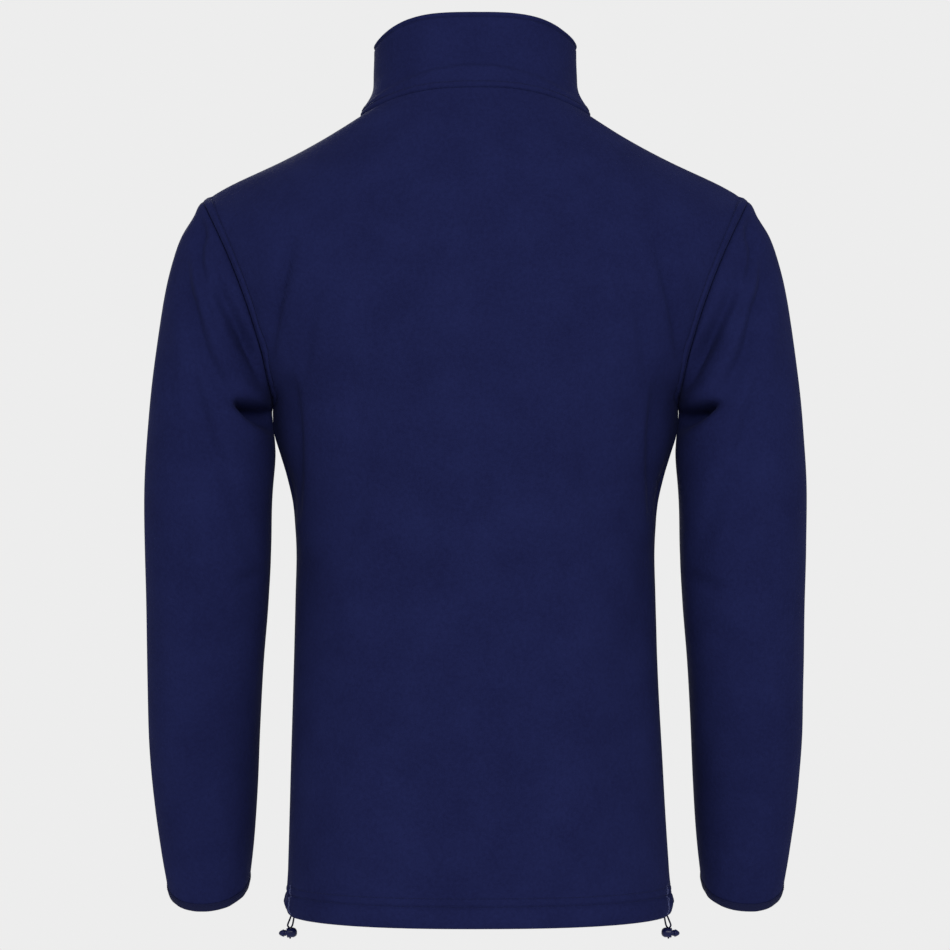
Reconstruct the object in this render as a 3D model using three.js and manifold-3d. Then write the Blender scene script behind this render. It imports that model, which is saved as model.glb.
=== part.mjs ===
/**
 * A fleece jacket with a front zip, filled out as worn with nobody in it.
 *
 * Millimetres, +Z up. The zip is at -Y, the back at +Y, and +X is the wearer's left.
 * The origin is the middle of the neck hole, level with the points where the shoulder seams
 * meet the collar. Each cut piece is a wall of cloth of its own, a seam gap away from the next.
 */
import * as THREE from 'three';
import { mergeVertices } from 'three/addons/utils/BufferGeometryUtils.js';
import Module from 'manifold-3d';

const wasm = await Module();
wasm.setup();

// ---- Driving sizes -----------------------------------------------------------------------------

const CLOTH = 2.5; // one layer of fleece
const COLLAR_CLOTH = 4; // the collar is two layers, turned at its top edge
const SEAM_GAP = 0.3; // between two pieces at a seam
const SEAM_BEVEL = 1; // the inner edge of a piece stands back this much more

const SHOULDER_SLOPE = { neckX: 97, neckY: 4, tipX: 232, tipY: -3, tipZ: -71, sag: 2.6, lift: 2.8 };
const ARMHOLE = { underX: 172, underY: 0, underZ: -238, back: 57, front: 60, bow: 9 };
const HEM = { z: -675.5, fold: 3.8, turnUp: 25 };
const NECK = { backY: 65, backZ: 20, frontY: -80, frontZ: -60 };
const COLLAR_TOP = {
  backY: 50, backZ: 84, sideX: 86.5, sideY: -20, sideZ: 64, frontY: -93, frontZ: 13, crown: 2.6, turn: 2.1,
};
const RIGHT_FLARE = { fromZ: -450, hem: 6.4 }; // the wearer's right side hangs out further at the hem
const TIP_ROW = { backZ: -78, frontZ: -98 }; // height of the centre line on the row of the shoulder tip
const FRONT_EDGE = 4.5; // half the gap between the fronts, where the zip shows

// Profile of the centre back, from the neck seam to the hem.
const BACK_LINE = [
  { z: NECK.backZ, y: NECK.backY },
  { z: -10, y: 81 },
  { z: -50, y: 99 },
  { z: -110, y: 112 },
  { z: -180, y: 116 },
  { z: -260, y: 108 },
  { z: -340, y: 97 },
  { z: -420, y: 93 },
  { z: -500, y: 98 },
  { z: -590, y: 107 },
  { z: HEM.z, y: 111 },
];

// Profile of the centre front, from the neck seam to the hem.
const FRONT_LINE = [
  { z: NECK.frontZ, y: NECK.frontY },
  { z: -90, y: -96 },
  { z: -130, y: -111 },
  { z: -190, y: -122 },
  { z: -260, y: -123 },
  { z: -350, y: -116 },
  { z: -440, y: -112 },
  { z: -540, y: -115 },
  { z: HEM.z, y: -119 },
];

// Half width of the body at the side seam, from the underarm to the hem. It has a row of cloth at
// each of these heights.
const SIDE_LINE = [
  { z: ARMHOLE.underZ, x: ARMHOLE.underX },
  { z: -255, x: 171.8 },
  { z: -270, x: 170.6 },
  { z: -286, x: 166 },
  { z: -305, x: 160.4 },
  { z: -330, x: 155 },
  { z: -365, x: 152.4 },
  { z: -405, x: 153 },
  { z: -450, x: 154 },
  { z: -500, x: 155.4 },
  { z: -550, x: 156.9 },
  { z: -600, x: 158.2 },
  { z: -645, x: 159.6 },
  { z: HEM.z + HEM.fold, x: 160.6 },
];

// How full each row of the body is. The station runs 0 neck, 1 shoulder tip, 2 underarm, 3 hem.
// "crown" flattens the middle of the row, "turn" rounds it into the seam at its end.
const FULLNESS = [
  { station: 0, crown: 2, turn: 2 },
  { station: 0.35, crown: 2.05, turn: 1.45 },
  { station: 1, crown: 2.4, turn: 1.25 },
  { station: 1.5, crown: 2.6, turn: 1.25 },
  { station: 1.8, crown: 2.5, turn: 1.5 },
  { station: 2, crown: 2.4, turn: 1.9 },
  { station: 2.25, crown: 2.4, turn: 2.1 },
  { station: 3, crown: 2.4, turn: 2.2 },
];

// Sections of the left sleeve. Each is a ring from its outer point to its inner point, with its
// centre at y, half depths behind and in front of it, and tilted forward by "lean" degrees.
const SLEEVE_RINGS = [
  { // armhole
    outX: SHOULDER_SLOPE.tipX, outZ: SHOULDER_SLOPE.tipZ,
    inX: ARMHOLE.underX, inZ: ARMHOLE.underZ,
    y: SHOULDER_SLOPE.tipY / 2, back: ARMHOLE.back, front: ARMHOLE.front, lean: 0, bow: ARMHOLE.bow,
  },
  { outX: 240, outZ: -85, inX: 173.2, inZ: -243.5, y: -1, back: 59, front: 62, lean: 0, bow: 6.5 }, // cap
  { outX: 251, outZ: -104, inX: 173.6, inZ: -249.5, y: 0, back: 62, front: 64, lean: 0, bow: 4 }, // head
  { outX: 259, outZ: -128, inX: 173.4, inZ: -257, y: 1, back: 64, front: 65, lean: 0, bow: 2 }, // upper arm
  { outX: 265, outZ: -157, inX: 173, inZ: -266, y: 2, back: 65, front: 65, lean: 0, bow: 0.5 }, // biceps top
  { outX: 271.5, outZ: -203, inX: 172.4, inZ: -280, y: 4, back: 64, front: 64, lean: 0, bow: 0 }, // biceps
  { outX: 277, outZ: -255, inX: 172, inZ: -302, y: 6, back: 62, front: 62, lean: 0, bow: 0 }, // biceps low
  { outX: 280.5, outZ: -312, inX: 172.8, inZ: -334, y: 7, back: 60, front: 60, lean: 1, bow: 0 }, // above elbow
  { outX: 280.3, outZ: -366, inX: 173.6, inZ: -372, y: 5, back: 58, front: 57, lean: 4, bow: 0 }, // elbow
  { outX: 279.5, outZ: -420, inX: 176.2, inZ: -415, y: 0, back: 55, front: 55, lean: 9, bow: 0 }, // below elbow
  { outX: 279.5, outZ: -476, inX: 180.8, inZ: -466, y: -10, back: 52, front: 52, lean: 14, bow: 0 }, // forearm
  { outX: 279.3, outZ: -532, inX: 184.4, inZ: -520, y: -23, back: 49, front: 49, lean: 17, bow: 0 }, // mid forearm
  { outX: 276, outZ: -584, inX: 187.4, inZ: -572, y: -38, back: 45, front: 46, lean: 20, bow: 0 }, // lower arm
  { outX: 271, outZ: -628, inX: 191.2, inZ: -619, y: -50, back: 42, front: 43, lean: 23, bow: 0 }, // wrist
  { outX: 266, outZ: -660, inX: 196, inZ: -656, y: -60, back: 41, front: 41, lean: 27, bow: 0 }, // cuff
];
const SLEEVE_RING_POWER = 2.15; // 2 is an ellipse, more is squarer

// The largest folds of the left half: a soft trough (height below zero) or ridge along a line in
// the view from behind, "width" to each side. Those of the front are alike but fewer.
const BACK_FOLDS = [
  { x0: 151, z0: -118, x1: 168, z1: -200, width: 9, height: -2.2 },
  { x0: 149, z0: -238, x1: 151, z1: -310, width: 11, height: -2.5 },
  { x0: 86, z0: -222, x1: 94, z1: -330, width: 16, height: -1.6 },
];
const FRONT_FOLDS = [
  { x0: 150, z0: -130, x1: 140, z1: -225, width: 13, height: -2.5 },
  { x0: 128, z0: -250, x1: 132, z1: -340, width: 15, height: -2 },
];
const SLEEVE_BACK_FOLDS = [
  { x0: 229, z0: -92, x1: 230, z1: -135, width: 7, height: -3.5 },
  { x0: 230, z0: -135, x1: 208, z1: -205, width: 9, height: -4.5 },
  { x0: 216, z0: -134, x1: 192, z1: -205, width: 7, height: -4 },
  { x0: 192, z0: -205, x1: 182, z1: -250, width: 9, height: -5 },
  { x0: 243, z0: -160, x1: 206, z1: -260, width: 16, height: -3 },
  { x0: 240, z0: -225, x1: 218, z1: -290, width: 15, height: -2.2 },
  { x0: 181, z0: -385, x1: 205, z1: -396, width: 9, height: -2 },
];
const SLEEVE_FRONT_FOLDS = [
  { x0: 228, z0: -95, x1: 214, z1: -180, width: 9, height: -4 },
  { x0: 246, z0: -165, x1: 204, z1: -250, width: 14, height: -3.5 },
  { x0: 182, z0: -375, x1: 226, z1: -392, width: 12, height: -4 },
  { x0: 186, z0: -405, x1: 222, z1: -424, width: 12, height: -3 },
];

const CUFF_BINDING = { overlap: 5, cloth: 1, gap: 0.3 };

const ZIP = {
  tapeFrom: 2.9, tapeTo: 13.5, tapeDepth: 3.6, tape: 0.7, teethDepth: 1.2, teeth: 2.6, halfGap: 0.15,
  neckSetBack: 2.4, collarSetBack: 2.8,
};
const ZIP_BOX = { height: 9, depth: 4.2, inwards: 0.5 };
const ZIP_ENDS = { tapeAboveFold: 0.6, tapeBelowTop: 2, teethInSlider: 3 };
const SLIDER = { width: 8.4, height: 11, plate: 1.1, gap: 0.4, backGap: 0.9, belowTop: 14 };
const BRIDGE = { width: 2, reach: 3.4, bar: 1.1, length: 7.4 };
const TAB = { pin: 1.3, width: 7.6, length: 27, thick: 1.3, eye: 5.4, rail: 1.6 };

const CORD = { diameter: 1.5, sides: 8, steps: 40, besideY: 0.95, splay: 2, exitX: 155, exitApart: 0.9 };
const LOCK = {
  z: -692.5, x: 157.6, tilt: 4, radius: 4.3, sides: 20, bore: 3.05, end: 1, shank: 2.75, travel: 2.4,
  clearance: 0.3, bridge: 1.1, slotWidth: 4, mouth: 2, rim: 0.9, button: 4.2,
};

// ---- Colours -----------------------------------------------------------------------------------

const FLEECE = { color: 0x1d224a, roughness: 0.97, metalness: 0 };
const BINDING = { color: 0x191d42, roughness: 0.9, metalness: 0 };
const TAPE = { color: 0x15193a, roughness: 0.85, metalness: 0 };
const TEETH = { color: 0x161a3c, roughness: 0.45, metalness: 0 };
const METAL = { color: 0x1b1e33, roughness: 0.35, metalness: 0.8 };
const ELASTIC = { color: 0x12163a, roughness: 0.8, metalness: 0 };
const PLASTIC = { color: 0x14183a, roughness: 0.35, metalness: 0 };

// ---- Numbers and curves ------------------------------------------------------------------------

const radians = THREE.MathUtils.degToRad;
const mix = THREE.MathUtils.lerp;
const vec = (x, y, z) => new THREE.Vector3(x, y, z);

/** Slope of a table column at row i, from its neighbours. */
function slope(table, by, key, i) {
  const before = table[Math.max(i - 1, 0)];
  const after = table[Math.min(i + 1, table.length - 1)];
  return (after[key] - before[key]) / (after[by] - before[by]);
}

/** Smooth value of a table's column at a value of its ordering column. */
function lookUp(table, by, key, at) {
  const rising = table[table.length - 1][by] > table[0][by];
  let i = table.findIndex((row) => (rising ? row[by] >= at : row[by] <= at));
  i = i < 0 ? table.length - 1 : Math.max(i, 1);
  const [a, b] = [table[i - 1], table[i]];
  const span = b[by] - a[by];
  const t = THREE.MathUtils.clamp((at - a[by]) / span, 0, 1);
  const cubic = 2 * t ** 3 - 3 * t ** 2;
  return (
    a[key] * (cubic + 1) - b[key] * cubic +
    (t ** 3 - 2 * t ** 2 + t) * span * slope(table, by, key, i - 1) +
    (t ** 3 - t ** 2) * span * slope(table, by, key, i)
  );
}

/** A signed power, for rings that are squarer than an ellipse. */
const signedPower = (value, power) => Math.sign(value) * Math.abs(value) ** power;

/** Height of the folds at a place seen from straight behind or in front. */
function foldHeight(folds, x, z) {
  let height = 0;
  for (const fold of folds) {
    const [dx, dz] = [fold.x1 - fold.x0, fold.z1 - fold.z0];
    const along = ((x - fold.x0) * dx + (z - fold.z0) * dz) / (dx * dx + dz * dz);
    const across = ((x - fold.x0) * dz - (z - fold.z0) * dx) / Math.hypot(dx, dz);
    const past = Math.max(0, -along, along - 1) * Math.hypot(dx, dz);
    height += fold.height * Math.exp(-((across / fold.width) ** 2) - (past / (1.5 * fold.width)) ** 2);
  }
  return height;
}

// ---- The body surface --------------------------------------------------------------------------

/** A point of the left shoulder seam, from the neck (0) to the shoulder tip (1). */
function shoulderSeam(f) {
  const s = SHOULDER_SLOPE;
  const z = s.tipZ * f - s.sag * Math.sin(Math.PI * f) + s.lift * Math.sin(Math.PI * f ** 3);
  return vec(mix(s.neckX, s.tipX, f), mix(s.neckY, s.tipY, f), z);
}

/** A point of a sleeve ring, or between two: angle 0 outer, 90 back, 180 inner, 270 front. */
function ringPoint(ring, degrees) {
  const [c, s] = [Math.cos(radians(degrees)), Math.sin(radians(degrees))];
  const across = signedPower(c, 2 / SLEEVE_RING_POWER);
  const depth = signedPower(s, 2 / SLEEVE_RING_POWER) * (s > 0 ? ring.back : ring.front);
  const lean = radians(ring.lean);
  return vec(
    mix(ring.inX, ring.outX, (1 + across) / 2) - ring.bow * s * s,
    ring.y + depth * Math.cos(lean),
    mix(ring.inZ, ring.outZ, (1 + across) / 2) - depth * Math.sin(lean),
  );
}

/**
 * Where a row of the body ends: on the shoulder seam, the armhole or the side seam. The half is 1
 * on the wearer's left and -1 on the right, which is worked out as if it were on the left too.
 */
function rowEnd(station, side, half) {
  if (station <= 1) return shoulderSeam(station);
  if (station <= 2) return ringPoint(SLEEVE_RINGS[0], side * 180 * (station - 1));
  const z = mix(ARMHOLE.underZ, HEM.z, station - 2);
  const down = Math.max(0, (z - RIGHT_FLARE.fromZ) / (HEM.z - RIGHT_FLARE.fromZ));
  const flare = half < 0 ? RIGHT_FLARE.hem * down ** 1.3 : 0;
  return vec(lookUp(SIDE_LINE, 'z', 'x', z) + flare, ARMHOLE.underY, z);
}

/** Where a row of the body crosses the centre line. */
function rowCentre(station, side) {
  const line = side > 0 ? BACK_LINE : FRONT_LINE;
  const tip = side > 0 ? TIP_ROW.backZ : TIP_ROW.frontZ;
  let z = mix(ARMHOLE.underZ, HEM.z, station - 2);
  if (station <= 1) z = mix(line[0].z, tip, station);
  else if (station <= 2) z = mix(tip, ARMHOLE.underZ, station - 1);
  return vec(0, lookUp(line, 'z', 'y', z), z);
}

const ROW_DROP = 2.6; // how late a row leaves the height of its centre for that of its end

/** A curve from the centre line (share 0) to the row's end (share 1), evenly spaced. */
function rowCurve(centre, end, crown, turn) {
  const points = [];
  const steps = 160;
  for (let i = 0; i <= steps; i++) {
    const angle = (i / steps) * (Math.PI / 2);
    const s = Math.sin(angle) ** (2 / crown);
    const depth = Math.cos(angle) ** (2 / turn);
    points.push(vec(end.x * s, mix(end.y, centre.y, depth), mix(centre.z, end.z, s ** ROW_DROP)));
  }
  const lengths = [0];
  for (let i = 1; i <= steps; i++) lengths.push(lengths[i - 1] + points[i].distanceTo(points[i - 1]));
  return (share) => {
    const want = share * lengths[steps];
    const i = Math.min(Math.max(lengths.findIndex((length) => length >= want), 1), steps);
    const t = (want - lengths[i - 1]) / (lengths[i] - lengths[i - 1]);
    return points[i - 1].clone().lerp(points[i], t);
  };
}

/** One row of half the body, behind (side 1) or in front (side -1). */
function bodyRow(station, side, half = 1) {
  const crown = lookUp(FULLNESS, 'station', 'crown', station);
  const turn = lookUp(FULLNESS, 'station', 'turn', station);
  return rowCurve(rowCentre(station, side), rowEnd(station, side, half), crown, turn);
}

/** A point of half the body. */
const bodyPoint = (station, share, side, half) => bodyRow(station, side, half)(share);

/** Outward normal of half the body. The back and the front share theirs at their seams. */
function bodyNormal(station, share, side, half) {
  const step = 0.004;
  const normal = (which) => {
    const [s0, s1] = [Math.max(station - step, 0), Math.min(station + step, 3)];
    const [u0, u1] = [Math.max(share - step, 0), Math.min(share + step, 1)];
    const down = bodyPoint(s1, share, which, half).sub(bodyPoint(s0, share, which, half));
    const row = bodyRow(station, which, half);
    const across = row(u1).sub(row(u0));
    return across.cross(down).multiplyScalar(which).normalize();
  };
  const open = station > 1 && station < 2;
  if (share < 1 || open) return normal(side);
  return normal(1).add(normal(-1)).normalize();
}

// ---- Walls of cloth ----------------------------------------------------------------------------

/** Moves an edge row or column of a grid back from the seam, its inner points further. */
function standBack(cells, neighbours, outerBy, innerBy) {
  cells.forEach((cell, i) => {
    const inward = neighbours[i].outer.clone().sub(cell.outer).normalize();
    cell.outer.addScaledVector(inward, outerBy);
    cell.inner.addScaledVector(inward, innerBy);
  });
}

/**
 * A closed body from a grid of { outer, inner } points. A grid that goes around joins its last
 * column to its first, and one that comes back joins its last row to its first.
 */
function wall(grid, around = false) {
  const [rows, columns] = [grid.length, grid[0].length];
  const positions = [];
  for (const layer of ['outer', 'inner']) {
    for (const row of grid) for (const cell of row) positions.push(...cell[layer].toArray());
  }
  const at = (layer, r, c) => (layer * rows + r) * columns + (c % columns);
  const index = [];
  const quad = (a, b, c, d) => index.push(a, b, c, a, c, d);
  const spans = around ? columns : columns - 1;
  for (let r = 0; r < rows - 1; r++) {
    for (let c = 0; c < spans; c++) {
      quad(at(0, r, c), at(0, r + 1, c), at(0, r + 1, c + 1), at(0, r, c + 1));
      quad(at(1, r, c), at(1, r, c + 1), at(1, r + 1, c + 1), at(1, r + 1, c));
    }
    if (!around) {
      quad(at(0, r, 0), at(1, r, 0), at(1, r + 1, 0), at(0, r + 1, 0));
      quad(at(0, r, spans), at(0, r + 1, spans), at(1, r + 1, spans), at(1, r, spans));
    }
  }
  for (let c = 0; c < spans; c++) {
    quad(at(0, 0, c), at(0, 0, c + 1), at(1, 0, c + 1), at(1, 0, c));
    quad(at(0, rows - 1, c), at(1, rows - 1, c), at(1, rows - 1, c + 1), at(0, rows - 1, c + 1));
  }
  return faceOut(positions, index);
}

/** A geometry whose faces point out of its body. */
function faceOut(positions, index) {
  let volume = 0;
  for (let i = 0; i < index.length; i += 3) {
    const [a, b, c] = [0, 1, 2].map((k) => vec(...positions.slice(3 * index[i + k], 3 * index[i + k] + 3)));
    volume += a.dot(b.cross(c));
  }
  const geometry = new THREE.BufferGeometry();
  geometry.setAttribute('position', new THREE.Float32BufferAttribute(positions, 3));
  geometry.setIndex(volume < 0 ? index.reverse() : index);
  return geometry;
}

/** The mirror image of a geometry for the wearer's right. */
function mirrored(geometry) {
  const positions = Array.from(geometry.getAttribute('position').array, (v, i) => (i % 3 ? v : -v));
  const count = positions.length / 3;
  return faceOut(positions, geometry.index ? Array.from(geometry.index.array) : [...Array(count).keys()]);
}

/** Numbers from first to last in equal steps, both included. */
const evenly = (first, last, steps) => Array.from({ length: steps + 1 }, (_, i) => mix(first, last, i / steps));

const ARMHOLE_STEPS = 9; // steps of the armhole from the shoulder tip to the underarm

// Stations of the body's rows: four to the shoulder tip, the armhole's, then the side seam's.
const BODY_STATIONS = [
  ...evenly(0, 1, 4).slice(0, -1),
  ...evenly(1, 2, ARMHOLE_STEPS),
  ...SIDE_LINE.slice(1).map(({ z }) => 2 + (z - ARMHOLE.underZ) / (HEM.z - ARMHOLE.underZ)),
];

/** One cell of a body panel with its folds: outer point, inner point and normal. */
function bodyCell(station, share, side, half, folds) {
  const normal = bodyNormal(station, share, side, half);
  const outer = bodyPoint(station, share, side, half);
  const calm = station < 2 && share > 0.93 ? 0.4 : 1;
  outer.addScaledVector(normal, calm * foldHeight(folds, outer.x, outer.z));
  const cell = { outer, normal, inner: outer.clone().addScaledVector(normal, -CLOTH) };
  for (const part of Object.values(cell)) part.x *= half;
  return cell;
}

/** The rows that turn the hem up inside, leaving the channel for the cord open at its ends. */
function hemRows(lastRow) {
  const level = (cell) => vec(cell.normal.x, cell.normal.y, 0).normalize();
  const arc = [45, 90, 135, 180].map((degrees) => {
    const a = radians(degrees);
    return lastRow.map((cell) => {
      const out = level(cell);
      const centre = cell.outer.clone().addScaledVector(out, -HEM.fold);
      const normal = out.clone().multiplyScalar(Math.cos(a)).add(vec(0, 0, -Math.sin(a)));
      const outer = centre.clone().addScaledVector(normal, HEM.fold);
      return { outer, inner: centre.addScaledVector(normal, HEM.fold - CLOTH) };
    });
  });
  const rise = vec(0, 0, HEM.turnUp - HEM.fold);
  const lifted = ({ outer, inner }) => ({ outer: outer.clone().add(rise), inner: inner.clone().add(rise) });
  const flap = arc[3].map(lifted);
  return [...arc, flap];
}

/** Stands a panel's edge column back from its seam, and its inner edge further at the armhole. */
function trimColumn(grid, edge, next) {
  const column = (c) => grid.map((row) => row[c]);
  standBack(column(edge), column(next), SEAM_GAP / 2, SEAM_GAP / 2);
  const armhole = grid.filter((_, r) => BODY_STATIONS[r] >= 1 && BODY_STATIONS[r] <= 2);
  standBack(armhole.map((row) => row[edge]), armhole.map((row) => row[next]), 0, SEAM_BEVEL);
}

const PANEL_SHARES = [0, 0.16, 0.32, 0.47, 0.6, 0.71, 0.8, 0.88, 0.945, 1];

/** The back, from the wearer's right side seam to the left. */
function backPanel() {
  const spots = [
    ...PANEL_SHARES.slice(1).reverse().map((share) => ({ share, half: -1 })),
    ...PANEL_SHARES.map((share) => ({ share, half: 1 })),
  ];
  const grid = BODY_STATIONS.map((station) =>
    spots.map(({ share, half }) => bodyCell(station, share, 1, half, BACK_FOLDS)));
  grid.push(...hemRows(grid[grid.length - 1]));
  standBack(grid[0], grid[1], SEAM_GAP / 2, SEAM_GAP / 2);
  trimColumn(grid, 0, 1);
  trimColumn(grid, spots.length - 1, spots.length - 2);
  return wall(grid);
}

/** The share of a row at the edge of the zip, a fixed width away from the centre line. */
function frontEdgeShare(station, half) {
  const row = bodyRow(station, -1, half);
  let share = FRONT_EDGE / row(1).x;
  for (let i = 0; i < 4; i++) share *= FRONT_EDGE / row(share).x;
  return share;
}

/** The left or right front, from the zip to the side seam. */
function frontPanel(half) {
  const grid = BODY_STATIONS.map((station) =>
    [frontEdgeShare(station, half), ...PANEL_SHARES.slice(1)]
      .map((share) => bodyCell(station, share, -1, half, FRONT_FOLDS)));
  grid.push(...hemRows(grid[grid.length - 1]));
  standBack(grid[0], grid[1], SEAM_GAP / 2, SEAM_GAP / 2);
  trimColumn(grid, PANEL_SHARES.length - 1, PANEL_SHARES.length - 2);
  return wall(grid);
}

// ---- Collar ------------------------------------------------------------------------------------

const COLLAR_HEIGHTS = [0, 0.1, 0.25, 0.5, 0.75, 1];
const COLLAR_SHARES = [0, 0.12, 0.28, 0.46, 0.64, 0.82]; // of each quarter, from its centre line
const COLLAR_FLARE = 3.4; // how fast the collar narrows above the neck seam

const collarTops = new Map([1, -1].map((side) => [side, rowCurve(
  vec(0, side > 0 ? COLLAR_TOP.backY : COLLAR_TOP.frontY, side > 0 ? COLLAR_TOP.backZ : COLLAR_TOP.frontZ),
  vec(COLLAR_TOP.sideX, COLLAR_TOP.sideY, COLLAR_TOP.sideZ), COLLAR_TOP.crown, COLLAR_TOP.turn,
)]));
const neckSeams = new Map([1, -1].map((side) => [side, bodyRow(0, side)]));

/** A point of the left half of the collar: share 0 at the centre, 1 at the side. */
function collarPoint(height, share, side) {
  const bottom = neckSeams.get(side)(share);
  const top = collarTops.get(side)(share);
  const narrow = 1 - (1 - height) ** COLLAR_FLARE;
  return vec(mix(bottom.x, top.x, narrow), mix(bottom.y, top.y, narrow), mix(bottom.z, top.z, height));
}

/** Outward normal of the left half of the collar. */
function collarNormal(height, share, side) {
  const step = 0.01;
  const [h0, h1] = [Math.max(height - step, 0), Math.min(height + step, 1)];
  const up = collarPoint(h1, share, side).sub(collarPoint(h0, share, side));
  if (share === 0) return vec(0, up.z, -up.y).multiplyScalar(side).normalize();
  const [u0, u1] = [Math.max(share - step, 0), Math.min(share + step, 1)];
  const across = collarPoint(height, u1, side).sub(collarPoint(height, u0, side));
  return up.cross(across).multiplyScalar(side).normalize();
}

/** One cell of the collar, on the left (half 1) or the right (half -1). */
function collarCell(height, { side, share, half }) {
  const normal = collarNormal(height, share, side);
  const outer = collarPoint(height, share, side);
  if (side < 0 && share === 0) outer.x = FRONT_EDGE;
  const inner = outer.clone().addScaledVector(normal, -COLLAR_CLOTH);
  outer.x *= half;
  inner.x *= half;
  return { outer, inner };
}

/** The collar as one band, from the left side of the zip round the back to the right side. */
function collar() {
  const toSide = COLLAR_SHARES.map((share) => ({ side: -1, share, half: 1 }));
  const toBack = [1, ...COLLAR_SHARES.slice(1).reverse()].map((share) => ({ side: 1, share, half: 1 }));
  const left = [...toSide, ...toBack];
  const right = left.map((spot) => ({ ...spot, half: -1 })).reverse();
  const path = [...left, { side: 1, share: 0, half: 1 }, ...right];
  const grid = COLLAR_HEIGHTS.map((height) => path.map((spot) => collarCell(height, spot)));
  standBack(grid[0], grid[1], 2 * SEAM_GAP, 2 * SEAM_GAP);
  return wall(grid);
}

// ---- Sleeves -----------------------------------------------------------------------------------

/** The sleeve ring at any place between the tabled ones. */
function sleeveRing(place) {
  const table = SLEEVE_RINGS.map((ring, i) => ({ ...ring, i }));
  const ring = {};
  for (const key of ['outX', 'outZ', 'inX', 'inZ', 'y', 'back', 'front', 'lean', 'bow']) {
    ring[key] = lookUp(table, 'i', key, place);
  }
  return ring;
}

/** One cell of the left sleeve with its folds. */
function sleeveCell(place, degrees) {
  const last = SLEEVE_RINGS.length - 1;
  const outer = ringPoint(sleeveRing(place), degrees);
  const down = ringPoint(sleeveRing(Math.min(place + 0.02, last)), degrees)
    .sub(ringPoint(sleeveRing(Math.max(place - 0.02, 0)), degrees));
  const around = ringPoint(sleeveRing(place), degrees + 2).sub(ringPoint(sleeveRing(place), degrees - 2));
  const normal = down.cross(around).normalize();
  const folds = Math.sin(radians(degrees)) > 0 ? SLEEVE_BACK_FOLDS : SLEEVE_FRONT_FOLDS;
  const calm = Math.min(1, place / 1.2) * Math.min(1, 3 * Math.abs(Math.sin(radians(degrees))));
  outer.addScaledVector(normal, calm * foldHeight(folds, outer.x, outer.z));
  return { outer, normal, inner: outer.clone().addScaledVector(normal, -CLOTH) };
}

const SLEEVE_SIDES = 2 * ARMHOLE_STEPS;

/** The left sleeve, from the armhole to the cuff. */
function sleeve() {
  const grid = [];
  for (let place = 0; place < SLEEVE_RINGS.length; place++) {
    const row = [];
    for (let i = 0; i < SLEEVE_SIDES; i++) row.push(sleeveCell(place, (360 * i) / SLEEVE_SIDES));
    grid.push(row);
  }
  standBack(grid[0], grid[1], SEAM_GAP / 2, SEAM_GAP / 2 + SEAM_BEVEL);
  return wall(grid, true);
}

/** The binding folded over the end of the left sleeve. */
function cuffBinding() {
  const last = SLEEVE_RINGS.length - 1;
  const { overlap, cloth, gap } = CUFF_BINDING;
  const profile = [
    { out: gap + cloth, down: -overlap },
    { out: gap + cloth, down: gap + cloth / 2 },
    { out: gap, down: gap + cloth },
    { out: -CLOTH - gap, down: gap + cloth },
    { out: -CLOTH - gap - cloth, down: gap + cloth / 2 },
    { out: -CLOTH - gap - cloth, down: -overlap },
    { out: -CLOTH - gap, down: -overlap },
    { out: -CLOTH - gap, down: gap },
    { out: gap, down: gap },
    { out: gap, down: -overlap },
  ];
  const positions = [];
  const index = [];
  for (let i = 0; i < SLEEVE_SIDES; i++) {
    const angle = (360 * i) / SLEEVE_SIDES;
    const [end, above] = [sleeveCell(last, angle), sleeveCell(last - 0.5, angle)];
    const down = end.outer.clone().sub(above.outer).normalize();
    for (const spot of profile) {
      positions.push(
        ...end.outer.clone().addScaledVector(end.normal, spot.out).addScaledVector(down, spot.down).toArray(),
      );
    }
  }
  const n = profile.length;
  for (let i = 0; i < SLEEVE_SIDES; i++) {
    const next = (i + 1) % SLEEVE_SIDES;
    for (let k = 0; k < n; k++) {
      const [a, b, c, d] = [i * n + k, i * n + ((k + 1) % n), next * n + ((k + 1) % n), next * n + k];
      index.push(a, b, c, a, c, d);
    }
  }
  return faceOut(positions, index);
}

// ---- Zip ---------------------------------------------------------------------------------------

/** The centre front line from the hem to the collar: each point, its outward way and set-back. */
function centreFront() {
  const line = [];
  for (const station of [...BODY_STATIONS].reverse()) {
    line.push({ point: rowCentre(station, -1), setBack: ZIP.neckSetBack * Math.max(0, 1 - station) });
  }
  for (const height of COLLAR_HEIGHTS.slice(1)) {
    line.push({ point: collarPoint(height, 0, -1), setBack: ZIP.collarSetBack });
  }
  line.forEach((spot, i) => {
    const along = line[Math.min(i + 1, line.length - 1)].point.clone().sub(line[Math.max(i - 1, 0)].point);
    spot.up = along.normalize();
    spot.out = vec(0, -spot.up.z, spot.up.y);
  });
  return line;
}

const CENTRE_FRONT = centreFront();

/** The spot of the centre front line at a height. */
function frontSpot(z) {
  const i = Math.max(CENTRE_FRONT.findIndex(({ point }) => point.z >= z), 1);
  const [a, b] = [CENTRE_FRONT[i - 1], CENTRE_FRONT[i]];
  const t = (z - a.point.z) / (b.point.z - a.point.z);
  return {
    point: a.point.clone().lerp(b.point, t),
    out: a.out.clone().lerp(b.out, t).normalize(),
    up: a.up.clone().lerp(b.up, t).normalize(),
    setBack: mix(a.setBack, b.setBack, t),
  };
}

/** The spots of the centre front line from one height to another. */
function frontRun(fromZ, toZ) {
  const between = CENTRE_FRONT.filter(({ point }) => point.z > fromZ + 1 && point.z < toZ - 1);
  return [frontSpot(fromZ), ...between, frontSpot(toZ)];
}

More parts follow.
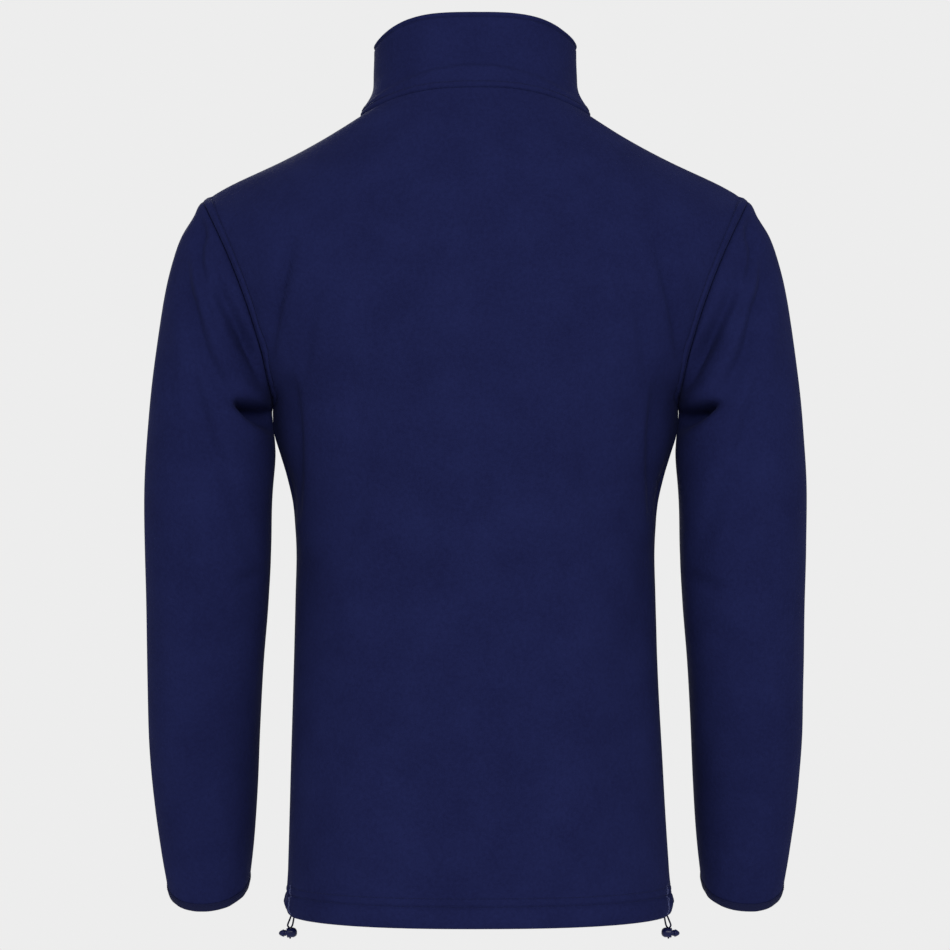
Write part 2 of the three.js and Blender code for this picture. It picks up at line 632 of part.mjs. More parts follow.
/** A flat strip along the centre front, between two depths behind the cloth's face. */
function zipStrip(line, fromX, toX, depth, thick) {
  const grid = line.map(({ point, out, setBack }) => {
    const face = point.clone().addScaledVector(out, -depth - setBack);
    const back = face.clone().addScaledVector(out, -thick);
    const cell = (x) => ({ outer: face.clone().setX(x), inner: back.clone().setX(x) });
    return [cell(fromX), cell(toX)];
  });
  return wall(grid);
}

// ---- Solids cut and joined ---------------------------------------------------------------------

/** A manifold of a closed geometry. */
function solid(geometry) {
  const bare = geometry.clone();
  for (const name of Object.keys(bare.attributes)) if (name !== 'position') bare.deleteAttribute(name);
  const merged = mergeVertices(bare, 1e-4);
  return new wasm.Manifold(new wasm.Mesh({
    numProp: 3,
    vertProperties: new Float32Array(merged.getAttribute('position').array),
    triVerts: new Uint32Array(merged.index.array),
  }));
}

/** The geometry of a manifold. */
function meshOf(manifold) {
  const { vertProperties, triVerts } = manifold.getMesh();
  const geometry = new THREE.BufferGeometry();
  geometry.setAttribute('position', new THREE.Float32BufferAttribute(vertProperties, 3));
  geometry.setIndex(Array.from(triVerts));
  return geometry;
}

/** A box between two corners. */
function box(x0, x1, y0, y1, z0, z1) {
  const geometry = new THREE.BoxGeometry(x1 - x0, y1 - y0, z1 - z0);
  return geometry.translate((x0 + x1) / 2, (y0 + y1) / 2, (z0 + z1) / 2);
}

/** A turned solid about the X axis from a profile of x and radius. */
function turned(profile, sides) {
  const lathe = new THREE.LatheGeometry(profile.map(({ x, radius }) => new THREE.Vector2(radius, x)), sides);
  return lathe.rotateZ(-Math.PI / 2);
}

/** Joins solids into one. */
const joined = (geometries) => geometries.map(solid).reduce((whole, next) => whole.add(next));

// ---- Zip slider, its pull tab and the box ------------------------------------------------------

// In the slider's own frame +Y points out of the jacket, +Z up the zip, and the origin is on the
// face of the teeth at the middle of the slider.

/** The slider: two plates around the teeth, a post above them and a bridge for the pull tab. */
function slider() {
  const { width, height, plate, gap, backGap } = SLIDER;
  const [half, rise] = [width / 2, height / 2];
  const back = -ZIP.teeth - backGap;
  const bridge = BRIDGE.length / 2;
  const side = BRIDGE.width / 2;
  const crown = gap + plate + BRIDGE.reach;
  return meshOf(joined([
    box(-half, half, gap, gap + plate, -rise, rise),
    box(-half, half, back - plate, back, -rise, rise),
    box(-1, 1, back - plate / 2, gap + plate / 2, rise - 2.2, rise),
    box(-side, side, gap + plate / 2, crown, bridge - BRIDGE.bar, bridge),
    box(-side, side, gap + plate / 2, crown, -bridge, BRIDGE.bar - bridge),
    box(-side, side, crown - BRIDGE.bar, crown, -bridge, bridge),
  ]));
}

/** The pull tab, hanging from its pin at the origin. */
function pullTab() {
  const { pin, width, length, thick, eye, rail } = TAB;
  const half = width / 2;
  const eyeBottom = -eye - pin / 2;
  return meshOf(joined([
    box(-half, half, -pin / 2, pin / 2, -pin / 2, pin / 2),
    box(-half, rail - half, -pin / 2, pin / 2, eyeBottom - 0.5, 0),
    box(half - rail, half, -pin / 2, pin / 2, eyeBottom - 0.5, 0),
    box(-half, half, -thick / 2, thick / 2, -length, eyeBottom),
  ]));
}

// ---- Drawcord and its lock ---------------------------------------------------------------------

// The left cord leaves the hem at the side seam, runs down through its lock, turns and comes back.
// Its two runs lie one behind the other in the lock and splay above it.

/** The middle line of the left cord. */
function cordPath() {
  const { besideY: y, splay, exitX, exitApart, diameter } = CORD;
  const { x, z, radius } = LOCK;
  const top = HEM.z - SEAM_GAP;
  const foot = z - radius + 0.6;
  return new THREE.CatmullRomCurve3([
    vec(exitX + exitApart, y, top),
    vec(exitX + exitApart + 1.6, y, top - 4.5),
    vec(x + splay, y, z + radius + 2.2),
    vec(x + 0.35 * splay, y, z + radius - 0.1),
    vec(x, y, z + LOCK.shank + 0.2),
    vec(x, y, z),
    vec(x, y, foot),
    vec(x, 0.6 * y, foot - 0.5 * diameter),
    vec(x, -0.6 * y, foot - 0.5 * diameter),
    vec(x, -y, foot),
    vec(x, -y, z),
    vec(x, -y, z + LOCK.shank + 0.2),
    vec(x - 0.35 * splay, -y, z + radius - 0.1),
    vec(x - splay, -y, z + radius + 2.2),
    vec(exitX - exitApart + 0.4, -y, top - 4.5),
    vec(exitX - exitApart, -y, top),
  ], false, 'centripetal');
}

/** The left cord. */
function cord() {
  const shape = new THREE.Shape();
  for (let i = 0; i < CORD.sides; i++) {
    const a = (2 * Math.PI * i) / CORD.sides;
    const [x, y] = [(Math.cos(a) * CORD.diameter) / 2, (Math.sin(a) * CORD.diameter) / 2];
    if (i) shape.lineTo(x, y);
    else shape.moveTo(x, y);
  }
  shape.closePath();
  return new THREE.ExtrudeGeometry(shape, { steps: CORD.steps, extrudePath: cordPath(), bevelEnabled: false });
}

// In the lock's own frame the origin is where the cord crosses its axis, and +X is the way that the
// plunger comes out. Pushed in, the plunger lets go of the cord; let go, its bridge presses on it.

const cordReach = CORD.diameter / 2 + LOCK.clearance;
const barrelLeft = -(cordReach + LOCK.bridge + LOCK.travel + LOCK.clearance + LOCK.end);
const barrelRight = LOCK.mouth + LOCK.rim;

/** The barrel of the lock: a rounded body, its bore and the slot that the cord runs through. */
function lockBarrel() {
  const { radius, bore, end, sides, slotWidth, mouth } = LOCK;
  const outer = turned([
    { x: barrelLeft, radius: 0 },
    { x: barrelLeft, radius: 0.5 * radius },
    { x: barrelLeft + 0.25 * radius, radius: 0.84 * radius },
    { x: barrelLeft + 0.7 * radius, radius },
    { x: barrelRight - 0.5, radius },
    { x: barrelRight, radius: radius - 0.5 },
    { x: barrelRight, radius: 0 },
  ], sides);
  const hole = turned([
    { x: barrelLeft + end, radius: 0 },
    { x: barrelLeft + end, radius: bore },
    { x: barrelRight + 1, radius: bore },
    { x: barrelRight + 1, radius: 0 },
  ], sides);
  const slot = box(-mouth, mouth, -slotWidth / 2, slotWidth / 2, -2 * radius, 2 * radius);
  return meshOf(solid(outer).subtract(solid(hole)).subtract(solid(slot)));
}

/** The plunger: a shank in the bore with a slot for the cord, and a waisted head outside. */
function lockPlunger() {
  const { shank, slotWidth, bridge, travel, button } = LOCK;
  const head = barrelRight + travel + 0.3;
  const outer = turned([
    { x: -cordReach - bridge, radius: 0 },
    { x: -cordReach - bridge, radius: shank },
    { x: head, radius: shank },
    { x: head + 0.5 * button, radius: 0.8 * shank },
    { x: head + 0.85 * button, radius: 0.5 * shank },
    { x: head + 0.95 * button, radius: 0 },
  ], LOCK.sides);
  const slot = box(-cordReach, cordReach + travel, -slotWidth / 2, slotWidth / 2, -2 * shank, 2 * shank);
  return meshOf(solid(outer).subtract(solid(slot)));
}

// ---- The jacket --------------------------------------------------------------------------------

const jacket = new THREE.Group();

/** Adds a named piece to a group. */
function add(name, geometry, finish, parent = jacket) {
  const mesh = new THREE.Mesh(geometry, new THREE.MeshStandardMaterial(finish));
  mesh.name = name;
  parent.add(mesh);
  return mesh;
}

/** Adds a piece of the left half and its mirror image. */
function addPair(name, geometry, finish) {
  add(`${name}_left`, geometry, finish);
  add(`${name}_right`, mirrored(geometry), finish);
}

add('back', backPanel(), FLEECE);
add('front_left', frontPanel(1), FLEECE);
add('front_right', frontPanel(-1), FLEECE);
addPair('sleeve', sleeve(), FLEECE);
addPair('cuff', cuffBinding(), BINDING);
add('collar', collar(), FLEECE);

const sliderZ = COLLAR_TOP.frontZ - SLIDER.belowTop;
const tapeFoot = HEM.z + HEM.fold + ZIP_ENDS.tapeAboveFold;
const tapeRun = frontRun(tapeFoot, COLLAR_TOP.frontZ - ZIP_ENDS.tapeBelowTop);
const teethTop = sliderZ + SLIDER.height / 2 - ZIP_ENDS.teethInSlider;
const teethRun = frontRun(HEM.z + ZIP_BOX.height + SEAM_GAP, teethTop);
const boxRun = frontRun(HEM.z + SEAM_GAP, HEM.z + ZIP_BOX.height);
const teethEdge = ZIP.tapeFrom - SEAM_GAP;
addPair('zip_tape', zipStrip(tapeRun, ZIP.tapeFrom, ZIP.tapeTo, ZIP.tapeDepth, ZIP.tape), TAPE);
addPair('zip_teeth', zipStrip(teethRun, ZIP.halfGap, teethEdge, ZIP.teethDepth, ZIP.teeth), TEETH);
const boxFace = ZIP.teethDepth - ZIP_BOX.inwards;
add('zip_box', zipStrip(boxRun, -teethEdge, teethEdge, boxFace, ZIP_BOX.depth), TEETH);

// The slider rides on the teeth, in line with the front of the collar.
const sliderSpot = frontSpot(sliderZ);
const sliderGroup = new THREE.Group();
sliderGroup.quaternion.setFromRotationMatrix(
  new THREE.Matrix4().makeBasis(vec(-1, 0, 0), sliderSpot.out, sliderSpot.up),
);
sliderGroup.position.copy(sliderSpot.point)
  .addScaledVector(sliderSpot.out, -ZIP.teethDepth - sliderSpot.setBack);
jacket.add(sliderGroup);
add('zip_slider', slider(), METAL, sliderGroup);

// The pull tab hangs straight down from its pin, at the foot of the bridge.
const pinOut = SLIDER.gap + SLIDER.plate + (BRIDGE.reach - BRIDGE.bar) / 2;
const pinUp = -BRIDGE.length / 2 + BRIDGE.bar + TAB.pin / 2 + SEAM_GAP;
const tab = add('pull_tab', pullTab(), METAL);
tab.position.copy(sliderGroup.position)
  .addScaledVector(sliderSpot.out, pinOut)
  .addScaledVector(sliderSpot.up, pinUp);

const lockFrame = new THREE.Matrix4()
  .makeTranslation(LOCK.x, 0, LOCK.z)
  .multiply(new THREE.Matrix4().makeRotationY(radians(LOCK.tilt)));
const cordPieces = { drawcord: [cord(), ELASTIC] };
cordPieces.lock = [lockBarrel().applyMatrix4(lockFrame), PLASTIC];
cordPieces.button = [lockPlunger().applyMatrix4(lockFrame), PLASTIC];
for (const [name, [geometry, finish]] of Object.entries(cordPieces)) {
  add(`${name}_left`, geometry, finish);
  add(`${name}_right`, mirrored(geometry), finish).position.x = -RIGHT_FLARE.hem;
}

export default jacket;
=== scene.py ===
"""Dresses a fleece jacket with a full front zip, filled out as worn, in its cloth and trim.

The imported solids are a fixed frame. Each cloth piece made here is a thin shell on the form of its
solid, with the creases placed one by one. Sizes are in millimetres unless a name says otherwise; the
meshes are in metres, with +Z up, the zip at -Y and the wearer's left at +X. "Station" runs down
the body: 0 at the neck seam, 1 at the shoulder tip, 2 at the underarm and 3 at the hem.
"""

import logging
import math
from dataclasses import dataclass, replace
from enum import Enum
from typing import Sequence

import bmesh
import bpy
import numpy as np
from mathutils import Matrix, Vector


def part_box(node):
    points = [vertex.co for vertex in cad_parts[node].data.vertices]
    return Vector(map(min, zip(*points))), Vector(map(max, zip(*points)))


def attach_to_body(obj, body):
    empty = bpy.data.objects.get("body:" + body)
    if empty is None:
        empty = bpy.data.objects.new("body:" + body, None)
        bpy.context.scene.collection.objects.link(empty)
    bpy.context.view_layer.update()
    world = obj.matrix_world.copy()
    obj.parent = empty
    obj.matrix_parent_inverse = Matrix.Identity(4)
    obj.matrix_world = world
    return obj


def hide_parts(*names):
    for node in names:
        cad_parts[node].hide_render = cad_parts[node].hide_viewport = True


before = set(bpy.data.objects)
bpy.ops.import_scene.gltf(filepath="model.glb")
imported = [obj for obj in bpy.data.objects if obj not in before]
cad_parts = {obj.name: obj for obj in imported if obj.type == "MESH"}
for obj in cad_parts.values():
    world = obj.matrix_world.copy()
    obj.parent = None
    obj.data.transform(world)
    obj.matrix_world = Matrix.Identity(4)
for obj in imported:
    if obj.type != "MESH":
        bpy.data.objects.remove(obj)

Array = np.ndarray
Material = bpy.types.Material
Object = bpy.types.Object
log = logging.getLogger("jacket")

MM = 0.001  # metres in a millimetre


class Face(Enum):
    """The back or the front of the jacket. The value is its sign along +Y."""

    BACK = 1
    FRONT = -1


class Hand(Enum):
    """The wearer's left or right. The value is its sign along +X."""

    LEFT = 1
    RIGHT = -1

    @property
    def word(self) -> str:
        """The side in lower case, as node names have it."""
        return self.name.lower()


# ---- Numbers, tables and creases -----------------------------------------------------------------


def mix(a: Array | float, b: Array | float, t: Array | float) -> Array:
    """Goes from a to b as t goes from 0 to 1."""
    return a + (b - a) * t


def step(low: float, high: float, x: Array) -> Array:
    """A smooth step from 0 at low to 1 at high."""
    t = np.clip((x - low) / (high - low), 0, 1)
    return t * t * (3 - 2 * t)


def bump(x: Array, width: float) -> Array:
    """A soft hump of height 1 about zero."""
    return np.exp(-((x / width) ** 2))


def signed_power(x: Array, power: float) -> Array:
    """A power that keeps the sign, for rings squarer than an ellipse."""
    return np.sign(x) * np.abs(x) ** power


def unit(v: Array) -> Array:
    """Vectors along the last axis, scaled to length 1."""
    return v / np.maximum(np.linalg.norm(v, axis=-1, keepdims=True), 1e-12)


def points_of(x: Array, y: Array, z: Array) -> Array:
    """Points from their three coordinates, which may have any shapes that fit together."""
    return np.stack(np.broadcast_arrays(x, y, z), axis=-1).astype(float)


@dataclass(frozen=True)
class Table:
    """A short table of sizes, read smoothly between its rows.

    Attributes:
        columns: names of the columns; the first one orders the rows.
        rows: the rows, in rising or falling order of the first column.
    """

    columns: tuple[str, ...]
    rows: tuple[tuple[float, ...], ...]

    def read(self, column: str, at: Array | float) -> Array:
        """Reads a column.

        Args:
            column: the column's name.
            at: values of the ordering column.

        Returns:
            The smooth values of the column there.
        """
        data = np.array(self.rows, float)
        values = data[:, self.columns.index(column)]
        sign = 1.0 if data[-1, 0] > data[0, 0] else -1.0
        order, at = sign * data[:, 0], sign * np.asarray(at, float)
        last = len(order) - 1
        rows = np.arange(last + 1)
        before, after = np.maximum(rows - 1, 0), np.minimum(rows + 1, last)
        slope = (values[after] - values[before]) / (order[after] - order[before])
        i = np.clip(np.searchsorted(order, at), 1, last)
        span = order[i] - order[i - 1]
        t = np.clip((at - order[i - 1]) / span, 0, 1)
        cubic = 2 * t**3 - 3 * t**2
        return (
            values[i - 1] * (cubic + 1) - values[i] * cubic
            + (t**3 - 2 * t**2 + t) * span * slope[i - 1] + (t**3 - t**2) * span * slope[i]
        )


def smooth_line(points: Array, count: int) -> Array:
    """Spaces points evenly along the smooth curve through a few points.

    Args:
        points: the few points, of two or three coordinates.
        count: how many points to make.

    Returns:
        The points, from the first one to the last.
    """
    points = np.asarray(points, float)
    rows = tuple((float(i), *p) for i, p in enumerate(points))
    names = ("i", "x", "y", "z")[: points.shape[1] + 1]
    table = Table(names, rows)
    at = np.linspace(0, len(points) - 1, 24 * len(points))
    fine = np.stack([table.read(name, at) for name in names[1:]], axis=-1)
    lengths = arc_lengths(fine)
    want = np.linspace(0, lengths[-1], count)
    return np.stack([np.interp(want, lengths, fine[:, k]) for k in range(fine.shape[1])], axis=-1)


def arc_lengths(line: Array) -> Array:
    """The distance along a line of points, or along each row of a grid, from its first point."""
    steps = np.linalg.norm(np.diff(line, axis=-2), axis=-1)
    return np.concatenate([np.zeros(steps.shape[:-1] + (1,)), np.cumsum(steps, axis=-1)], axis=-1)


def distance_to(line: Array, points: Array) -> Array:
    """The distance from each point of a grid to a close line of points."""
    flat = points.reshape(-1, points.shape[-1])
    near = np.full(len(flat), np.inf)
    for spot in line:
        near = np.minimum(near, ((flat - spot) ** 2).sum(axis=-1))
    return np.sqrt(near).reshape(points.shape[:-1])


@dataclass(frozen=True)
class Fold:
    """A crease along a line seen from straight behind or in front: a trough, or a ridge if raised.

    Attributes:
        line: points (x, z) along it.
        width: how far it spreads to each side.
        height: its height, below zero in a trough.
        far: how far it spreads away from the centre of the jacket, where that differs.
    """

    line: tuple[tuple[float, float], ...]
    width: float
    height: float
    far: float = 0.0

    def heights(self, x: Array, z: Array) -> Array:
        """The height of the crease at places seen from straight behind or in front."""
        curve = smooth_line(np.array(self.line), 36)
        spots = np.stack([x, z], axis=-1).reshape(-1, 2)
        nearest = np.argmin(((spots[:, None] - curve[None]) ** 2).sum(axis=-1), axis=1)
        away = spots - curve[nearest]
        along = unit(np.gradient(curve, axis=0))[nearest]
        across = away[:, 0] * -along[:, 1] + away[:, 1] * along[:, 0]
        past = (away * along).sum(axis=-1)
        spacing = np.linalg.norm(curve[1] - curve[0])
        share = (nearest + np.clip(past / spacing, -0.5, 0.5)) / (len(curve) - 1)
        taper = np.sin(math.pi * np.clip(mix(0.04, 0.96, share), 0, 1)) ** 0.75
        inner = (nearest > 0) & (nearest < len(curve) - 1)
        width = np.where(across > 0, self.far or self.width, self.width)
        over = np.where(inner, 0, past)
        height = taper * np.exp(-((across / width) ** 2) - (over / (1.3 * self.width)) ** 2)
        return self.height * height.reshape(x.shape)


def fold_heights(folds: Sequence[Fold], x: Array, z: Array) -> Array:
    """The height of several creases together."""
    return sum((fold.heights(x, z) for fold in folds), np.zeros(x.shape))


def varied(folds: Sequence[Fold], seed: int, shift: float = 4.0) -> tuple[Fold, ...]:
    """Creases alike but not the same, for the other half of the jacket.

    Args:
        folds: the creases to vary.
        seed: a fixed seed.
        shift: the most that a crease moves.

    Returns:
        The varied creases.
    """
    rng = np.random.default_rng(seed)
    made = []
    for fold in folds:
        dx, dz = rng.uniform(-0.5, 0.5) * shift, rng.uniform(-1, 1) * shift
        line = tuple((x + dx, z + dz) for x, z in fold.line)
        made.append(replace(fold, line=line, height=fold.height * rng.uniform(0.75, 1.1)))
    return tuple(made)


def undulation(x: Array, z: Array, length: float, seed: int) -> Array:
    """Soft uneven swells between -1 and 1.

    Args:
        x: first coordinate of each place.
        z: second coordinate of each place.
        length: how far apart the swells are.
        seed: a fixed seed.

    Returns:
        The height of the swells at each place.
    """
    rng = np.random.default_rng(seed)
    total = np.zeros(np.broadcast(x, z).shape)
    waves = 7
    for _ in range(waves):
        angle, size, start = rng.uniform(0, math.pi), rng.uniform(0.7, 1.5), rng.uniform(0, 6.3)
        across = (x * math.cos(angle) + z * math.sin(angle)) / (length * size)
        total += np.sin(2 * math.pi * across + start)
    return total / waves


# ---- The form of the jacket, as its solids have it -----------------------------------------------

CLOTH = 2.5  # one layer of fleece
COLLAR_CLOTH = 4.0  # the collar is two layers, turned at its top edge
SEAM_GAP = 0.3  # between two pieces at a seam
SEAM_OVERLAP = 0.15  # how far a panel's edge goes past its side seam, so that no light comes through


@dataclass(frozen=True)
class Shoulder:
    """The left shoulder seam, from the collar to the sleeve."""

    neck_x: float = 97
    neck_y: float = 4
    tip_x: float = 232
    tip_y: float = -3
    tip_z: float = -71
    sag: float = 2.6
    lift: float = 2.8

    def seam(self, f: Array) -> Array:
        """Points of the seam, from the neck (0) to the shoulder tip (1)."""
        dip = -self.sag * np.sin(math.pi * f) + self.lift * np.sin(math.pi * f**3)
        x, y = mix(self.neck_x, self.tip_x, f), mix(self.neck_y, self.tip_y, f)
        return points_of(x, y, self.tip_z * f + dip)


SHOULDER = Shoulder()
UNDER_X, UNDER_Z = 172.0, -238.0  # the underarm point, where the armhole meets the side seam
HEM_Z, HEM_FOLD, HEM_TURN_UP = -675.5, 3.8, 25.0
NECK_BACK = (65.0, 20.0)  # y and z of the neck seam at the centre back
NECK_FRONT = (-80.0, -60.0)  # and at the centre front
FRONT_EDGE = 4.5  # half the gap between the fronts
TIP_ROW = {Face.BACK: -78.0, Face.FRONT: -98.0}  # height of the centre on the shoulder tip's row
ROW_DROP = 2.6  # how late a row leaves the height of its centre for that of its end
FLARE_FROM, FLARE = -450.0, 6.4  # the wearer's right side hangs out further at the hem
RING_POWER = 2.15  # 2 is an ellipse, more is squarer
ROW_STEPS = 600  # points of a row before it is divided evenly

CENTRE_LINES = {
    Face.BACK: Table(("z", "y"), (
        (20, 65), (-10, 81), (-50, 99), (-110, 112), (-180, 116), (-260, 108), (-340, 97),
        (-420, 93), (-500, 98), (-590, 107), (HEM_Z, 111),
    )),
    Face.FRONT: Table(("z", "y"), (
        (-60, -80), (-90, -96), (-130, -111), (-190, -122), (-260, -123), (-350, -116),
        (-440, -112), (-540, -115), (HEM_Z, -119),
    )),
}
SIDE_LINE = Table(("z", "x"), (
    (UNDER_Z, UNDER_X), (-255, 171.8), (-270, 170.6), (-286, 166), (-305, 160.4), (-330, 155),
    (-365, 152.4), (-405, 153), (-450, 154), (-500, 155.4), (-550, 156.9), (-600, 158.2),
    (-645, 159.6), (HEM_Z + HEM_FOLD, 160.6),
))
FULLNESS = Table(("station", "crown", "turn"), (
    (0, 2, 2), (0.35, 2.05, 1.45), (1, 2.4, 1.25), (1.5, 2.6, 1.25), (1.8, 2.5, 1.5),
    (2, 2.4, 1.9), (2.25, 2.4, 2.1), (3, 2.4, 2.2),
))
SLEEVE_RINGS = Table(
    ("place", "out_x", "out_z", "in_x", "in_z", "y", "back", "front", "lean", "bow"),
    (
        (0, SHOULDER.tip_x, SHOULDER.tip_z, UNDER_X, UNDER_Z, -1.5, 57, 60, 0, 9),
        (1, 240, -85, 173.2, -243.5, -1, 59, 62, 0, 6.5),
        (2, 251, -104, 173.6, -249.5, 0, 62, 64, 0, 4),
        (3, 259, -128, 173.4, -257, 1, 64, 65, 0, 2),
        (4, 265, -157, 173, -266, 2, 65, 65, 0, 0.5),
        (5, 271.5, -203, 172.4, -280, 4, 64, 64, 0, 0),
        (6, 277, -255, 172, -302, 6, 62, 62, 0, 0),
        (7, 280.5, -312, 172.8, -334, 7, 60, 60, 1, 0),
        (8, 280.3, -366, 173.6, -372, 5, 58, 57, 4, 0),
        (9, 279.5, -420, 176.2, -415, 0, 55, 55, 9, 0),
        (10, 279.5, -476, 180.8, -466, -10, 52, 52, 14, 0),
        (11, 279.3, -532, 184.4, -520, -23, 49, 49, 17, 0),
        (12, 276, -584, 187.4, -572, -38, 45, 46, 20, 0),
        (13, 271, -628, 191.2, -619, -50, 42, 43, 23, 0),
        (14, 266, -660, 196, -656, -60, 41, 41, 27, 0),
    ),
)
LAST_RING = 14


def sleeve_points(place: Array | float, degrees: Array) -> Array:
    """Points of the left sleeve: 0 degrees outer, 90 back, 180 inner, 270 front."""
    c, s = np.cos(np.radians(degrees)), np.sin(np.radians(degrees))
    ring = {name: SLEEVE_RINGS.read(name, place) for name in SLEEVE_RINGS.columns[1:]}
    depth = signed_power(s, 2 / RING_POWER) * np.where(s > 0, ring["back"], ring["front"])
    share = (1 + signed_power(c, 2 / RING_POWER)) / 2
    lean = np.radians(ring["lean"])
    return points_of(
        mix(ring["in_x"], ring["out_x"], share) - ring["bow"] * s * s,
        ring["y"] + depth * np.cos(lean),
        mix(ring["in_z"], ring["out_z"], share) - depth * np.sin(lean),
    )


def row_ends(stations: Array, face: Face, hand: Hand) -> Array:
    """Where rows of the body end: on the shoulder seam, the armhole or the side seam."""
    seam = SHOULDER.seam(np.clip(stations, 0, 1))
    armhole = sleeve_points(0.0, face.value * 180 * (np.clip(stations, 1, 2) - 1))
    z = mix(UNDER_Z, HEM_Z, stations - 2)
    down = np.clip((z - FLARE_FROM) / (HEM_Z - FLARE_FROM), 0, 1)
    flare = FLARE * down**1.3 if hand is Hand.RIGHT else 0.0
    side = points_of(SIDE_LINE.read("x", z) + flare, 0.0, z)
    at = stations[:, None]
    return np.where(at <= 1, seam, np.where(at <= 2, armhole, side))


def row_centres(stations: Array, face: Face) -> Array:
    """Where rows of the body cross the centre line."""
    top = NECK_BACK[1] if face is Face.BACK else NECK_FRONT[1]
    tip = TIP_ROW[face]
    z = mix(UNDER_Z, HEM_Z, stations - 2)
    z = np.where(stations <= 2, mix(tip, UNDER_Z, stations - 1), z)
    z = np.where(stations <= 1, mix(top, tip, stations), z)
    return points_of(0.0, CENTRE_LINES[face].read("y", z), z)


@dataclass
class Rows:
    """Curves from the centre line to the end of each row of the body or collar."""

    dense: Array
    lengths: Array

    @classmethod
    def between(
        cls, centres: Array, ends: Array, crown: Array, turn: Array, drop: float = ROW_DROP,
    ) -> "Rows":
        """Makes the curves.

        Args:
            centres: first point of each row.
            ends: last point of each row.
            crown: how flat the middle of each row is.
            turn: how round each row turns into its end.
            drop: how late a row leaves the height of its centre.

        Returns:
            The rows.
        """
        angle = np.linspace(0, math.pi / 2, ROW_STEPS + 1)
        s = np.sin(angle)[None] ** (2 / crown[:, None])
        depth = np.maximum(np.cos(angle), 0)[None] ** (2 / turn[:, None])
        centre, end = centres[:, None], ends[:, None]
        dense = points_of(
            end[..., 0] * s,
            mix(end[..., 1], centre[..., 1], depth),
            mix(centre[..., 2], end[..., 2], s**drop),
        )
        return cls(dense, arc_lengths(dense))

    def at(self, shares: Array) -> Array:
        """Points at given shares of each row's length, one row of shares for each row."""
        out = np.empty(shares.shape + (3,))
        for r, share in enumerate(shares):
            for k in range(3):
                out[r, :, k] = np.interp(share * self.lengths[r, -1], self.lengths[r], self.dense[r, :, k])
        return out


def body_rows(stations: Array, face: Face, hand: Hand) -> Rows:
    """The rows of half the back or of one front."""
    return Rows.between(
        row_centres(stations, face), row_ends(stations, face, hand),
        FULLNESS.read("crown", stations), FULLNESS.read("turn", stations),
    )


def grid_normals(grid: Array, around: bool = False) -> Array:
    """Unit normals of a grid of points, from row direction crossed with column direction."""
    down = np.gradient(grid, axis=0)
    if around:
        across = (np.roll(grid, -1, axis=1) - np.roll(grid, 1, axis=1)) / 2
    else:
        across = np.gradient(grid, axis=1)
    return unit(np.cross(down, across))


# ---- Meshes --------------------------------------------------------------------------------------


def mesh_object(name: str, points: Array, faces: Sequence[Sequence[int]], finish: Material) -> Object:
    """Makes a smooth-shaded object from points in millimetres.

    Args:
        name: the object's name.
        points: its points.
        faces: its faces, as indices.
        finish: its material.

    Returns:
        The object, at the origin.
    """
    mesh = bpy.data.meshes.new(name)
    mesh.from_pydata((np.asarray(points) * MM).tolist(), [], faces)
    mesh.polygons.foreach_set("use_smooth", [True] * len(mesh.polygons))
    mesh.materials.append(finish)
    mesh.update()
    made = bpy.data.objects.new(name, mesh)
    bpy.context.scene.collection.objects.link(made)
    return made


def grid_faces(rows: int, columns: int, wrap_rows: bool, wrap_columns: bool, offset: int = 0) -> Array:
    """Four-sided faces of a grid, which may join its last row or column to its first."""
    r = np.arange(rows if wrap_rows else rows - 1)[:, None]
    c = np.arange(columns if wrap_columns else columns - 1)[None]
    below, beside = (r + 1) % rows, (c + 1) % columns
    quads = [r * columns + c, below * columns + c, below * columns + beside, r * columns + beside]
    return np.stack(np.broadcast_arrays(*quads), axis=-1).reshape(-1, 4) + offset


def face_out(points: Array, faces: Array) -> Array:
    """Turns the faces of a closed shell so that they point outwards."""
    a, b, c, d = (points[faces[:, i]] for i in range(4))
    volume = (a * np.cross(b, c)).sum() + (a * np.cross(c, d)).sum()
    return faces if volume > 0 else faces[:, ::-1]


@dataclass
class Shell:
    """A wall of cloth: its outside points, the way that each faces, and how full each is.

    Attributes:
        outside: grid of points.
        normals: unit normals of the grid, pointing out.
        full: share of the thickness at each point, which falls to almost nothing at an edge.
        thickness: the cloth's thickness.
    """

    outside: Array
    normals: Array
    full: Array
    thickness: float = CLOTH

    def area(self) -> float:
        """The area of the outside in square metres, without the last column of a tube."""
        across, down = np.diff(self.outside, axis=1)[:-1], np.diff(self.outside, axis=0)[:, :-1]
        return float(np.linalg.norm(np.cross(across, down), axis=-1).sum()) * MM * MM

    def build(self, name: str, finish: Material, around: bool = False) -> Object:
        """Makes the wall as a closed mesh.

        Args:
            name: the object's name.
            finish: its material.
            around: whether the last column joins the first.

        Returns:
            The object.
        """
        rows, columns = self.full.shape
        half = self.normals * (self.thickness / 2)
        middle = self.outside - half
        swell = self.full[..., None]
        outer, inner = middle + half * swell, middle - half * swell
        points = np.concatenate([outer.reshape(-1, 3), inner.reshape(-1, 3)])
        count = rows * columns
        faces = [grid_faces(rows, columns, False, around)]
        faces.append(grid_faces(rows, columns, False, around, count)[:, ::-1])
        index = np.arange(count).reshape(rows, columns)
        rims = [index[0], index[-1][::-1]]
        if around:
            rims = [np.append(index[0], index[0, 0]), np.append(index[-1], index[-1, 0])[::-1]]
        else:
            rims += [index[::-1, 0], index[:, -1]]
        for rim in rims:
            a, b = rim[:-1], rim[1:]
            faces.append(np.stack([a, b, b + count, a + count], axis=-1))
        made = face_out(points, np.concatenate(faces))
        return mesh_object(name, points, made.tolist(), finish)


